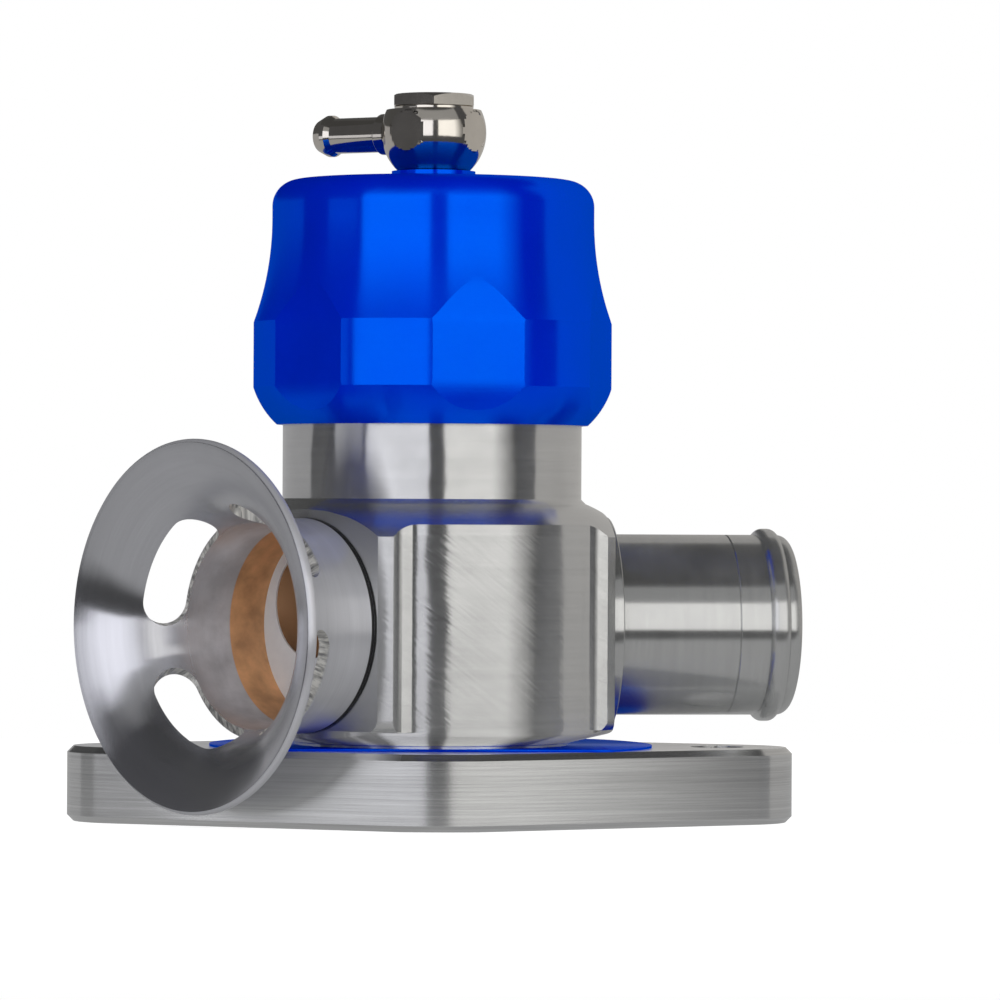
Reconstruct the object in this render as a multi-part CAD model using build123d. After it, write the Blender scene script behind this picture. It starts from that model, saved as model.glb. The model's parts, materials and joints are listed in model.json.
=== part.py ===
# A dual-port blow off valve on a two-bolt flange. Millimetres, +Z up, the valve axis on Z and z = 0 at the
# underside of the flange, whose two bolts lie along X. A port is drawn in a frame of its own, whose Z runs
# outwards along the port's axis from the valve axis, so that its lengths are distances from the valve axis.
import os
from math import asin, cos, degrees, radians, sin, sqrt, tan

from build123d import *

# Flange plate, and the blue anodised shim between it and the body
FLANGE_THICK = 12.0
FLANGE_FACE = 33.4
FLANGE_NOSE_R = 35.0
FLANGE_END_R = 12.0
FLANGE_CHAMFER = 1.0
BOLT_SPACING = 92.0
BOLT_HOLE_R = 4.25
SHIM_R = 35.4
SHIM_THICK = 0.35

# Valve body, outside
BODY_R = 32.0
BODY_FOOT_R = 22.0
BODY_FOOT_GAP = 0.35
BODY_BELLY_RISE = 2.4
BODY_BELLY_ROUND = 2.6
BODY_SHOULDER_Z = 45.6
BODY_SHOULDER_RISE = 5.2
BODY_SHOULDER_BULGE = 0.5
NECK_R = 23.9
NECK_FOOT_ROUND = 0.7
NECK_TOP_Z = 74.0
PORT_FLAT = 26.7

# Reliefs milled round the body between the two port flats
RELIEF_R = 30.0
RELIEF_CORNER_R = 4.5
RELIEF_STRIP = 1.9

# Valve body, bores
INLET_R = 16.0
SEAT_Z = 18.0
PISTON_BORE_R = 17.5
BORE_LEAD_R = 18.5
BORE_LEAD = 1.0

# Spigot of the body in the flange
SPIGOT_R = 20.5
SPIGOT_FLOOR_Z = 3.0
SPIGOT_GAP = 0.3
SPIGOT_FIT = 0.05

# O-rings: section radii, and the clearance all round each one in its groove
O_RING_R = 1.0
FLANGE_O_RING_R = 1.2
FLANGE_O_RING_MEAN_R = 27.0
BODY_O_RING_Z = 7.5
CAP_O_RING_Z = 68.5
GROOVE_FIT = 0.02

# The two ports: height of their axes, and directions seen from above
PORT_Z = 31.5
VENT_AZ = -141.0
HOSE_AZ = 6.0
PORT_FIT = 0.03

# Vent port, and the trumpet in it
VENT_STEM_R = 16.9
VENT_FLOOR_L = 21.7
VENT_HOLE_R = 8.6
VENT_HOLE_RISE = 3.3
VENT_HOLE_SHIFT = 4.3
TRUMPET_BORE_R = 15.7
TRUMPET_FLARE_L = 33.0
TRUMPET_BACK_L = 30.5
TRUMPET_RIM_R = 29.1
TRUMPET_RIM_L = 50.3
TRUMPET_RIM_THICK = 1.7
TRUMPET_LIP_SHARE = 0.47
TRUMPET_SLOTS = 4
TRUMPET_SLOT_L = 40.6
TRUMPET_SLOT_WIDTH = 7.4
TRUMPET_SLOT_TURN = 147.0
TRUMPET_WEB = 6.9
VENT_O_RING_R = 0.5

# Hose port, and the hose tail in it
HOSE_STEM_R = 15.5
HOSE_FLOOR_L = 20.8
HOSE_HOLE_R = 11.5
HOSE_R = 14.5
HOSE_BORE_R = 12.6
HOSE_COLLAR_R = 17.3
HOSE_COLLAR = 1.7
HOSE_SCRIBE_L = 47.7
HOSE_SCRIBE = 0.15
HOSE_BEAD_L = 54.2
HOSE_BEAD_R = 15.5
HOSE_BEAD_HALF = 1.6
HOSE_BEAD_LAND = 0.8
HOSE_END_L = 57.9
HOSE_END_ROUND = 1.8
HOSE_O_RING_R = 0.6

# Cap
CAP_Z = 62.8
CAP_MOUTH_R = 24.9
CAP_SKIRT_Z = 69.0
CAP_SKIRT_BULGE = 0.7
CAP_R = 28.65
CAP_WAIST_Z = 78.7
CAP_CROWN_R = 25.75
CAP_CROWN_Z = 94.7
CAP_TOP_Z = 102.4
CAP_TOP_ROUND = 5.5
CAP_ROOM_R = 21.0
CAP_TOP_WALL = 5.9
CAP_BOSS_R = 6.7
CAP_BOSS_RISE = 1.5
CAP_FIT = 0.05
CAP_ROOM_ROUND = 1.5
CAP_FACETS = 6
CAP_FACET_Z = 75.2
CAP_FACET_HALF = 13.0
CAP_FACET_APOTHEM = 27.7
CAP_FACET_CROWN_R = 62.0
CAP_FACET_TURN = -77.5

# Piston and what it carries
PISTON_FIT = 0.05
PISTON_H = 40.0
PISTON_WALL = 3.2
PISTON_FLOOR = 4.0
PISTON_CORNER = 0.9
PISTON_NOSE = 0.8
LOWER_SEAL_RISE = 3.5
UPPER_SEAL_DROP = 3.5
GUIDE_RING_DROP = 7.0
GUIDE_RING_H = 4.0
GUIDE_RING_THICK = 1.4

# Return spring, from the piston's floor to the washer under the cap's top
SPRING_MEAN_R = 12.0
SPRING_WIRE_R = 1.3
SPRING_TURNS = 7
SPRING_WASHER = 1.2
SPRING_WASHER_WIDTH = 3.0
SPRING_SPACER_H = 14.0
SPRING_SPACER_WALL = 2.0
SPRING_SPACER_ROUND = 1.0

# Banjo fitting on the cap's boss
BARB_AZ = 144.0
BANJO_R = 8.4
BANJO_DROP = 6.2
BANJO_RISE = 3.6
BANJO_FLAT_R = 3.2
BANJO_BOLT_R = 4.0
BANJO_BOLT_ROOM = 0.5
BANJO_WASHER_ROOM = 0.2
BANJO_O_RING_R = 0.5
BANJO_WASHER = 0.6
BANJO_WASHER_R = 6.3
HEAD_AF = 12.7
HEAD_H = 1.9
HEAD_CONE_DEG = 30.0
HEAD_CONE_STEP = 0.2
HEAD_TURN = 27.5
BOLT_BORE_R = 1.7
BOLT_CROSS_R = 1.2
BOLT_NECK = 0.9
BOLT_NECK_HALF = 2.0
BOLT_END_GAP = 0.5
BOLT_FIT = 0.03
BARB_R = 2.85
BARB_BORE_R = 1.6
BARB_BEAD_R = 3.35
BARB_BEAD_L = 19.7
BARB_BEAD_LAND = 0.8
BARB_BEAD_RAMP = 0.8
BARB_TIP_L = 22.0
BARB_TIP_R = 2.45
BARB_ROUND = 0.3
BARB_TIP_ROUND = 0.6
BARB_COLLAR_R = 3.3
BARB_COLLAR_L = 9.2
BARB_COLLAR = 0.6
BARB_WALL_GAP = 0.1
BARB_SINK = 3.0

# Longer than anything that is cut right through
THROUGH = 150.0


def turned(*lines):
    """The solid of revolution about Z of a closed outline whose lines are drawn as (radius, height)."""
    edges = [edge for line in lines for edge in line.edges()]
    return revolve(Plane.XZ * make_face(edges), Axis.Z)


def turned_points(*points):
    """The same from corner points, each (radius, height) or (radius, height, fillet)."""
    corners = [point[:2] for point in points]
    rounds = [point[2] if len(point) > 2 else 0 for point in points]
    return turned(FilletPolyline(*corners, radius=rounds, close=True))


def ring(outer, inner, low, high):
    return turned_points((inner, low), (outer, low), (outer, high), (inner, high))


def disc(radius, low, high):
    return Pos(0, 0, low) * Cylinder(radius, high - low, align=(Align.CENTER, Align.CENTER, Align.MIN))


def o_ring(outer, middle, section=O_RING_R):
    """A round-section ring about Z that reaches out to a radius."""
    return Pos(0, 0, middle) * Torus(outer - section, section)


def o_ring_groove(outer, middle, section=O_RING_R):
    """The groove that holds the same ring, open outwards."""
    half = section + GROOVE_FIT
    return ring(outer + section, outer - 2 * section - GROOVE_FIT, middle - half, middle + half)


def port(azimuth):
    """A port's place: its Z runs outwards, its X downwards and its Y to the right of one who faces it."""
    return Pos(0, 0, PORT_Z) * Rot(0, 0, azimuth) * Rot(0, 90, 0)


def save(name, *solids):
    """One sub-part's file, of one solid or of several like ones."""
    shape = solids[0] if len(solids) == 1 else Compound(children=list(solids))
    export_step(shape, os.path.join("parts", name + ".step"))


# Flange


def flange_outline(inset=0.0):
    """The lozenge: four straight faces, round ends about the bolts, and a round nose in front and behind."""
    face = FLANGE_FACE - inset
    end_r = FLANGE_END_R - inset
    slope = asin((face - end_r) / (BOLT_SPACING / 2))
    tip, apex = face / sin(slope), face / cos(slope)
    lozenge = make_face(Polyline((tip, 0), (0, apex), (-tip, 0), (0, -apex), close=True))
    lozenge = fillet(lozenge.vertices().sort_by(Axis.X)[0], end_r)
    lozenge = fillet(lozenge.vertices().sort_by(Axis.X)[-1], end_r)
    foot = face * sin(slope)
    sides = [Pos(side * (foot + tip) / 2, 0) * Rectangle(tip - foot, 2 * apex) for side in (1, -1)]
    return lozenge & (Circle(FLANGE_NOSE_R) + sides[0] + sides[1])


def mounting_flange():
    plate = extrude(flange_outline(), FLANGE_THICK)
    curved = plate.edges().filter_by(GeomType.CIRCLE)
    rim = curved.filter_by(lambda edge: abs(edge.radius - FLANGE_NOSE_R) < 0.01)
    top = plate.edges().group_by(Axis.Z)[-1]
    low = plate.edges().group_by(Axis.Z)[0]
    plate = chamfer(low + (top - rim), FLANGE_CHAMFER)
    plate -= disc(INLET_R, 0, FLANGE_THICK)
    plate -= disc(SPIGOT_R + SPIGOT_FIT, SPIGOT_FLOOR_Z, FLANGE_THICK)
    for side in (1, -1):
        plate -= Pos(side * BOLT_SPACING / 2, 0) * disc(BOLT_HOLE_R, 0, FLANGE_THICK)
    half = FLANGE_O_RING_R + GROOVE_FIT
    return plate - ring(FLANGE_O_RING_MEAN_R + half, FLANGE_O_RING_MEAN_R - half, 0, 2 * half)


def flange_o_ring():
    return o_ring(FLANGE_O_RING_MEAN_R + FLANGE_O_RING_R, FLANGE_O_RING_R + GROOVE_FIT, FLANGE_O_RING_R)


def seat_shim():
    """A thin disc trimmed to the flat top that the flange's chamfer leaves."""
    plate = extrude(flange_outline(FLANGE_CHAMFER) & Circle(SHIM_R), SHIM_THICK)
    return Pos(0, 0, FLANGE_THICK) * (plate - disc(SPIGOT_R + SPIGOT_FIT, 0, SHIM_THICK))


# Valve body


def foot_z():
    return FLANGE_THICK + SHIM_THICK


def body_envelope():
    """The turned outside of the body: spigot, foot, belly, domed shoulder and neck."""
    foot = foot_z()
    belly = foot + BODY_FOOT_GAP
    shoulder_top = BODY_SHOULDER_Z + BODY_SHOULDER_RISE
    low = FilletPolyline(
        (0, SPIGOT_FLOOR_Z + SPIGOT_GAP),
        (SPIGOT_R, SPIGOT_FLOOR_Z + SPIGOT_GAP),
        (SPIGOT_R, foot),
        (BODY_FOOT_R, foot),
        (BODY_FOOT_R, belly),
        (BODY_R, belly + BODY_BELLY_RISE),
        (BODY_R, BODY_SHOULDER_Z),
        radius=[0, 0, 0, 0, BODY_BELLY_ROUND],
    )
    neck_foot = (NECK_R + NECK_FOOT_ROUND, shoulder_top)
    dome = SagittaArc((BODY_R, BODY_SHOULDER_Z), neck_foot, -BODY_SHOULDER_BULGE)
    high = FilletPolyline(
        neck_foot, (NECK_R, shoulder_top + NECK_FOOT_ROUND), (NECK_R, NECK_TOP_Z), (0, NECK_TOP_Z), radius=0
    )
    axis = Line((0, NECK_TOP_Z), (0, SPIGOT_FLOOR_Z + SPIGOT_GAP))
    return turned(low, dome, high, axis)


def flat_edge_deg():
    """The angle at the valve axis between a port's axis and the edge of its flat."""
    return degrees(asin(sqrt(BODY_R**2 - PORT_FLAT**2) / BODY_R))


def relief(start, end):
    """The cutter of one milled relief, from one angle to another, with rounded inner corners."""
    reach = BODY_R * 1.2
    slabs = [Pos(0, side * THROUGH / 2) * Rectangle(THROUGH, THROUGH) for side in (1, -1)]
    sector = Circle(reach) - Circle(RELIEF_R)
    if end - start < 180:
        sector = sector & (Rot(0, 0, start) * slabs[0]) & (Rot(0, 0, end) * slabs[1])
    else:
        sector = sector & (Rot(0, 0, start) * slabs[0] + Rot(0, 0, end) * slabs[1])
    inner = [v for v in sector.vertices() if abs(Vector(*v).length - RELIEF_R) < 0.01]
    sector = fillet(inner, RELIEF_CORNER_R)
    return extrude(sector, BODY_SHOULDER_Z + BODY_SHOULDER_RISE)


def body_ports(body):
    """The flats, the sockets and the holes through to the piston's bore."""
    for azimuth in (VENT_AZ, HOSE_AZ):
        body -= port(azimuth) * Pos(0, 0, PORT_FLAT + BODY_R / 2) * Box(THROUGH, THROUGH, BODY_R)
    vent_hole = Pos(-VENT_HOLE_RISE, -VENT_HOLE_SHIFT) * disc(VENT_HOLE_R, 0, BODY_R)
    body -= port(VENT_AZ) * (disc(VENT_STEM_R + PORT_FIT, VENT_FLOOR_L, BODY_R) + vent_hole)
    hose = disc(HOSE_STEM_R + PORT_FIT, HOSE_FLOOR_L, BODY_R) + disc(HOSE_HOLE_R, 0, BODY_R)
    return body - port(HOSE_AZ) * hose


def lead_in():
    """The cone at the top of the bore that the piston's seals are pushed in through."""
    foot = NECK_TOP_Z - BORE_LEAD
    return turned_points((0, foot), (PISTON_BORE_R, foot), (BORE_LEAD_R, NECK_TOP_Z), (0, NECK_TOP_Z))


def valve_body():
    body = body_envelope()
    strip = degrees(RELIEF_STRIP / BODY_R)
    margin = flat_edge_deg() + strip
    body -= relief(VENT_AZ + margin, HOSE_AZ - margin)
    body -= relief(HOSE_AZ + margin, VENT_AZ + 360 - margin)
    body = body_ports(body)
    body -= disc(INLET_R, 0, SEAT_Z) + disc(PISTON_BORE_R, SEAT_Z, NECK_TOP_Z)
    body -= lead_in()
    body -= o_ring_groove(SPIGOT_R, BODY_O_RING_Z)
    return body - o_ring_groove(NECK_R, CAP_O_RING_Z)


def body_o_ring():
    return o_ring(SPIGOT_R + GROOVE_FIT, BODY_O_RING_Z)


# Vent trumpet


def flare_arc(radius, start, end_radius, end):
    """An arc that leaves a straight bore or stem tangentially and opens out to the rim."""
    return TangentArc((radius, start), (end_radius, end), tangent=(0, 1))


def flare_radius(rise, run):
    """The radius of an arc that starts along the axis and moves out by rise over a length of run."""
    return (rise**2 + run**2) / (2 * rise)


def trumpet_blank():
    inner = flare_arc(TRUMPET_BORE_R, TRUMPET_FLARE_L, TRUMPET_RIM_R, TRUMPET_RIM_L)
    outer = flare_arc(VENT_STEM_R, TRUMPET_BACK_L, TRUMPET_RIM_R, TRUMPET_RIM_L - TRUMPET_RIM_THICK)
    rim = Line((TRUMPET_RIM_R, TRUMPET_RIM_L), (TRUMPET_RIM_R, TRUMPET_RIM_L - TRUMPET_RIM_THICK))
    stem = Polyline(
        (TRUMPET_BORE_R, TRUMPET_FLARE_L),
        (TRUMPET_BORE_R, VENT_FLOOR_L),
        (VENT_STEM_R, VENT_FLOOR_L),
        (VENT_STEM_R, TRUMPET_BACK_L),
    )
    blank = turned(inner, outer, rim, stem)
    lip = blank.edges().filter_by(GeomType.CIRCLE).filter_by(lambda e: e.radius > TRUMPET_RIM_R - 0.01)
    rise, run = TRUMPET_RIM_R - TRUMPET_BORE_R, TRUMPET_RIM_L - TRUMPET_FLARE_L
    wall = TRUMPET_RIM_THICK * run / flare_radius(rise, run)
    return fillet(lip, TRUMPET_LIP_SHARE * wall)


def trumpet_slot():
    """The cutter of one slot: it follows the flare round, square to its wall, and has round ends."""
    radius = flare_radius(TRUMPET_RIM_R - TRUMPET_BORE_R, TRUMPET_RIM_L - TRUMPET_FLARE_L)
    slope = asin((TRUMPET_SLOT_L - TRUMPET_FLARE_L) / radius)
    middle_r = TRUMPET_BORE_R + radius * (1 - cos(slope))
    along, outward = (sin(slope), 0, cos(slope)), (cos(slope), 0, -sin(slope))
    wall = Plane((middle_r, 0, TRUMPET_SLOT_L), x_dir=along, z_dir=outward)
    depth = 2 * (2 * (VENT_STEM_R - TRUMPET_BORE_R) + TRUMPET_RIM_THICK)
    sweep = 360 / TRUMPET_SLOTS - degrees((TRUMPET_WEB + TRUMPET_SLOT_WIDTH) / middle_r)
    cutter = revolve(wall * Rot(90, 0, 0) * Rectangle(TRUMPET_SLOT_WIDTH, depth), Axis.Z, sweep)
    for turn in (0, sweep):
        cutter += Rot(0, 0, turn) * wall * Cylinder(TRUMPET_SLOT_WIDTH / 2, depth)
    return Rot(0, 0, TRUMPET_SLOT_TURN - sweep / 2) * cutter


def vent_trumpet():
    trumpet = trumpet_blank()
    slot = trumpet_slot()
    for index in range(TRUMPET_SLOTS):
        trumpet -= Rot(0, 0, index * 360 / TRUMPET_SLOTS) * slot
    groove = o_ring_groove(VENT_STEM_R, vent_o_ring_l(), VENT_O_RING_R)
    return port(VENT_AZ) * (trumpet - groove)


def vent_o_ring_l():
    return PORT_FLAT + VENT_O_RING_R + GROOVE_FIT


def vent_o_ring():
    return port(VENT_AZ) * o_ring(VENT_STEM_R + GROOVE_FIT, vent_o_ring_l(), VENT_O_RING_R)


# Hose tail


def hose_tail():
    bead_low, bead_high = HOSE_BEAD_L - HOSE_BEAD_HALF, HOSE_BEAD_L + HOSE_BEAD_HALF
    land_low, land_high = HOSE_BEAD_L - HOSE_BEAD_LAND / 2, HOSE_BEAD_L + HOSE_BEAD_LAND / 2
    bead_front = TangentArc((HOSE_BEAD_R, land_low), (HOSE_R, bead_low), tangent=(0, -1))
    land = Line((HOSE_BEAD_R, land_low), (HOSE_BEAD_R, land_high))
    bead_back = TangentArc((HOSE_BEAD_R, land_high), (HOSE_R, bead_high), tangent=(0, 1))
    shank = Polyline(
        (HOSE_BORE_R, HOSE_FLOOR_L),
        (HOSE_STEM_R, HOSE_FLOOR_L),
        (HOSE_STEM_R, PORT_FLAT),
        (HOSE_COLLAR_R, PORT_FLAT),
        (HOSE_COLLAR_R, PORT_FLAT + HOSE_COLLAR),
        (HOSE_R, PORT_FLAT + HOSE_COLLAR),
        (HOSE_R, HOSE_SCRIBE_L - HOSE_SCRIBE),
        (HOSE_R - HOSE_SCRIBE, HOSE_SCRIBE_L),
        (HOSE_R, HOSE_SCRIBE_L + HOSE_SCRIBE),
        (HOSE_R, bead_low),
    )
    nose = FilletPolyline(
        (HOSE_R, bead_high), (HOSE_R, HOSE_END_L), (HOSE_BORE_R, HOSE_END_L), radius=[HOSE_END_ROUND]
    )
    bore = Line((HOSE_BORE_R, HOSE_END_L), (HOSE_BORE_R, HOSE_FLOOR_L))
    tail = turned(shank, bead_front, land, bead_back, nose, bore)
    return port(HOSE_AZ) * (tail - o_ring_groove(HOSE_STEM_R, hose_o_ring_l(), HOSE_O_RING_R))


def hose_o_ring_l():
    return (HOSE_FLOOR_L + PORT_FLAT) / 2


def hose_o_ring():
    return port(HOSE_AZ) * o_ring(HOSE_STEM_R + GROOVE_FIT, hose_o_ring_l(), HOSE_O_RING_R)


# Cap


def cap_blank():
    mouth = Line((NECK_R + CAP_FIT, CAP_Z), (CAP_MOUTH_R, CAP_Z))
    skirt = SagittaArc((CAP_MOUTH_R, CAP_Z), (CAP_R, CAP_SKIRT_Z), -CAP_SKIRT_BULGE)
    band = Line((CAP_R, CAP_SKIRT_Z), (CAP_R, CAP_WAIST_Z))
    flank = TangentArc((CAP_CROWN_R, CAP_CROWN_Z), (CAP_R, CAP_WAIST_Z), tangent=(0, -1))
    crown = FilletPolyline(
        (CAP_CROWN_R, CAP_CROWN_Z), (CAP_CROWN_R, CAP_TOP_Z), (0, CAP_TOP_Z), radius=[CAP_TOP_ROUND]
    )
    room_top = CAP_TOP_Z - CAP_TOP_WALL
    inside = FilletPolyline(
        (0, CAP_TOP_Z),
        (0, room_top),
        (CAP_ROOM_R, room_top),
        (CAP_ROOM_R, NECK_TOP_Z + CAP_FIT),
        (NECK_R + CAP_FIT, NECK_TOP_Z + CAP_FIT),
        (NECK_R + CAP_FIT, CAP_Z),
        radius=[0, CAP_ROOM_ROUND, 0, 0],
    )
    return turned(mouth, skirt, band, flank, crown, inside)


def cap_facet():
    """The cutter of one facet: flat across, and slightly crowned up and down."""
    wide = Pos(CAP_FACET_APOTHEM, 0, CAP_FACET_Z) * Box(CAP_R, CAP_R, 2 * CAP_FACET_HALF)
    crown = Pos(CAP_FACET_APOTHEM - CAP_FACET_CROWN_R, 0, CAP_FACET_Z) * Rot(90, 0, 0)
    return wide - crown * Cylinder(CAP_FACET_CROWN_R, 2 * CAP_R)


def cap():
    blank = cap_blank() + disc(CAP_BOSS_R, CAP_TOP_Z - CAP_TOP_WALL / 2, banjo_z())
    facet = cap_facet()
    for index in range(CAP_FACETS):
        blank -= Rot(0, 0, CAP_FACET_TURN + index * 360 / CAP_FACETS) * facet
    blank -= disc(BANJO_BOLT_R + BOLT_FIT, CAP_TOP_Z - CAP_TOP_WALL, banjo_z())
    return blank - banjo_seal_groove()


def cap_o_ring():
    return o_ring(NECK_R + GROOVE_FIT, CAP_O_RING_Z)


# Banjo fitting


def banjo_z():
    """The height of the banjo's seat on the boss."""
    return CAP_TOP_Z + CAP_BOSS_RISE


def banjo_axis_z():
    return banjo_z() + BANJO_DROP


def banjo_seal_mean_r():
    return (BANJO_BOLT_R + CAP_BOSS_R) / 2


def banjo_seal_groove():
    half = BANJO_O_RING_R + GROOVE_FIT
    return ring(banjo_seal_mean_r() + half, banjo_seal_mean_r() - half, banjo_z() - 2 * half, banjo_z())


def banjo_o_ring():
    middle = banjo_z() - BANJO_O_RING_R - GROOVE_FIT
    return o_ring(banjo_seal_mean_r() + BANJO_O_RING_R, middle, BANJO_O_RING_R)


def barb_place():
    """The place of the barb: its Z runs outwards from the banjo's centre."""
    return Pos(0, 0, banjo_axis_z()) * Rot(0, 0, BARB_AZ) * Rot(0, 90, 0)


def banjo_eye():
    """A ball cut off level above and below, with a flat spot on each side that has no barb."""
    ball = Pos(0, 0, banjo_axis_z()) * Sphere(BANJO_R)
    ball &= disc(BANJO_R, banjo_z(), banjo_axis_z() + BANJO_RISE)
    spot = sqrt(BANJO_R**2 - BANJO_FLAT_R**2)
    for turn in (90, 180, 270):
        slab = Pos(spot + BANJO_R / 2, 0, banjo_axis_z()) * Box(BANJO_R, 2 * BANJO_R, 2 * BANJO_R)
        ball -= Rot(0, 0, BARB_AZ + turn) * slab
    ball -= disc(BANJO_BOLT_R + BANJO_BOLT_ROOM, banjo_z(), banjo_axis_z() + BANJO_RISE)
    return ball - barb_place() * disc(BARB_R + BOLT_FIT, BARB_COLLAR_L - BARB_SINK, BANJO_R)


def vacuum_barb():
    collar_top = BARB_COLLAR_L + BARB_COLLAR
    land_low, land_high = BARB_BEAD_L - BARB_BEAD_LAND / 2, BARB_BEAD_L + BARB_BEAD_LAND / 2
    points = [
        (BARB_BORE_R, BARB_COLLAR_L - BARB_SINK),
        (BARB_R, BARB_COLLAR_L - BARB_SINK),
        (BARB_R, banjo_wall_l()),
        (BARB_COLLAR_R, banjo_wall_l()),
        (BARB_COLLAR_R, collar_top),
        (BARB_R, collar_top, BARB_ROUND),
        (BARB_R, land_low - BARB_BEAD_RAMP),
        (BARB_BEAD_R, land_low),
        (BARB_BEAD_R, land_high),
        (BARB_TIP_R, BARB_TIP_L, BARB_TIP_ROUND),
        (BARB_BORE_R, BARB_TIP_L),
    ]
    return barb_place() * turned_points(*points)


def banjo_wall_l():
    """Where the barb's collar clears the ball."""
    return sqrt(BANJO_R**2 - BARB_R**2) + BARB_WALL_GAP


def banjo_washer():
    top = banjo_axis_z() + BANJO_RISE
    return ring(BANJO_WASHER_R, BANJO_BOLT_R + BANJO_WASHER_ROOM, top, top + BANJO_WASHER)


def bolt_head(low):
    """A hexagon whose upper corners are turned off by a cone that meets its top just inside the flats."""
    high = low + HEAD_H
    hexagon = Pos(0, 0, low) * Rot(0, 0, HEAD_TURN) * RegularPolygon(HEAD_AF / 2, 6, major_radius=False)
    top_r = HEAD_AF / 2 - HEAD_CONE_STEP
    foot_r = top_r + HEAD_H / tan(radians(HEAD_CONE_DEG))
    return extrude(hexagon, HEAD_H) & turned_points((0, low), (foot_r, low), (top_r, high), (0, high))


def banjo_bolt():
    """A hollow bolt, cross-drilled at the barb's height and necked there for the air to pass."""
    middle = banjo_axis_z()
    head_z = middle + BANJO_RISE + BANJO_WASHER
    low = CAP_TOP_Z - CAP_TOP_WALL + BOLT_END_GAP
    bolt = bolt_head(head_z) + disc(BANJO_BOLT_R, low, head_z)
    neck = BANJO_BOLT_R - BOLT_NECK
    bolt -= ring(BANJO_BOLT_R + BOLT_NECK, neck, middle - BOLT_NECK_HALF, middle + BOLT_NECK_HALF)
    bolt -= disc(BOLT_BORE_R, low, middle + BOLT_NECK_HALF)
    return bolt - barb_place() * Pos(0, 0, -BANJO_BOLT_R) * disc(BOLT_CROSS_R, 0, 2 * BANJO_BOLT_R)


# Piston


def piston_r():
    return PISTON_BORE_R - PISTON_FIT


def piston_groove_z():
    """Heights of the lower seal, the guide ring and the upper seal."""
    top = SEAT_Z + PISTON_H
    return SEAT_Z + LOWER_SEAL_RISE, top - GUIDE_RING_DROP - GUIDE_RING_H, top - UPPER_SEAL_DROP


def piston():
    outer, inner = piston_r(), piston_r() - PISTON_WALL
    top, floor = SEAT_Z + PISTON_H, SEAT_Z + PISTON_FLOOR
    cup = turned_points(
        (0, SEAT_Z),
        (outer - PISTON_NOSE, SEAT_Z),
        (outer, SEAT_Z + PISTON_NOSE),
        (outer, top),
        (inner, top),
        (inner, floor, PISTON_CORNER),
        (0, floor),
    )
    low_seal, guide, high_seal = piston_groove_z()
    cup -= o_ring_groove(outer, low_seal) + o_ring_groove(outer, high_seal)
    return cup - ring(outer + GUIDE_RING_THICK, outer - GUIDE_RING_THICK, guide, guide + GUIDE_RING_H)


def piston_seal(height):
    return o_ring(PISTON_BORE_R - GROOVE_FIT, height)


def piston_guide_ring():
    inner = piston_r() - GUIDE_RING_THICK + GROOVE_FIT
    low = piston_groove_z()[1] + GROOVE_FIT
    return ring(PISTON_BORE_R - GROOVE_FIT, inner, low, low + GUIDE_RING_H - 2 * GROOVE_FIT)


def spring_ends():
    """The heights of the spring's lower and upper seats."""
    return SEAT_Z + PISTON_FLOOR + SPRING_WASHER, CAP_TOP_Z - CAP_TOP_WALL - SPRING_WASHER - SPRING_SPACER_H


def return_spring():
    """A coil of round wire with its two ends resting on the washers."""
    low, high = spring_ends()
    rise = high - low - 2 * SPRING_WIRE_R
    path = Pos(0, 0, low + SPRING_WIRE_R) * Helix(rise / SPRING_TURNS, rise, SPRING_MEAN_R)
    section = Plane(origin=path @ 0, z_dir=path % 0) * Circle(SPRING_WIRE_R)
    return sweep(section, path=path, is_frenet=True)


def spring_washer(z):
    outer = SPRING_MEAN_R + SPRING_WIRE_R
    return ring(outer, outer - SPRING_WASHER_WIDTH, z, z + SPRING_WASHER)


def spring_spacer():
    """The cup that brings the spring's upper seat down from the cap's top."""
    top = CAP_TOP_Z - CAP_TOP_WALL
    low = top - SPRING_SPACER_H
    outer = SPRING_MEAN_R + SPRING_WIRE_R + SPRING_SPACER_WALL
    inner = outer - SPRING_SPACER_WALL
    floor = low + SPRING_SPACER_WALL
    return turned_points(
        (BANJO_BOLT_R, low),
        (outer, low),
        (outer, top),
        (inner, top),
        (inner, floor, SPRING_SPACER_ROUND),
        (BANJO_BOLT_R, floor),
    )


def build():
    os.makedirs("parts", exist_ok=True)
    low_seal, _, high_seal = piston_groove_z()
    low_seat, high_seat = spring_ends()
    save("mounting_flange", mounting_flange())
    save("flange_o_ring", flange_o_ring())
    save("seat_shim", seat_shim())
    save("valve_body", valve_body())
    save("body_o_ring", body_o_ring())
    save("vent_trumpet", vent_trumpet())
    save("vent_o_ring", vent_o_ring())
    save("hose_tail", hose_tail())
    save("hose_o_ring", hose_o_ring())
    save("cap", cap())
    save("cap_o_ring", cap_o_ring())
    save("banjo_eye", banjo_eye())
    save("banjo_o_ring", banjo_o_ring())
    save("vacuum_barb", vacuum_barb())
    save("banjo_washer", banjo_washer())
    save("banjo_bolt", banjo_bolt())
    save("piston", piston())
    save("piston_lower_seal", piston_seal(low_seal))
    save("piston_guide_ring", piston_guide_ring())
    save("piston_upper_seal", piston_seal(high_seal))
    save("spring_lower_washer", spring_washer(low_seat - SPRING_WASHER))
    save("return_spring", return_spring())
    save("spring_upper_washer", spring_washer(high_seat))
    save("spring_spacer", spring_spacer())


build()
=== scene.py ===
"""A dual-port blow off valve, dressed over its CAD frame. Metres, +Z up, the valve axis on Z."""
import json
from math import asin, atan2, cos, pi, radians, sin, sqrt, tan
from types import SimpleNamespace

import bmesh
import bpy
from bpy.props import FloatProperty, FloatVectorProperty, IntProperty, PointerProperty
from mathutils import Matrix, Vector


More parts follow.
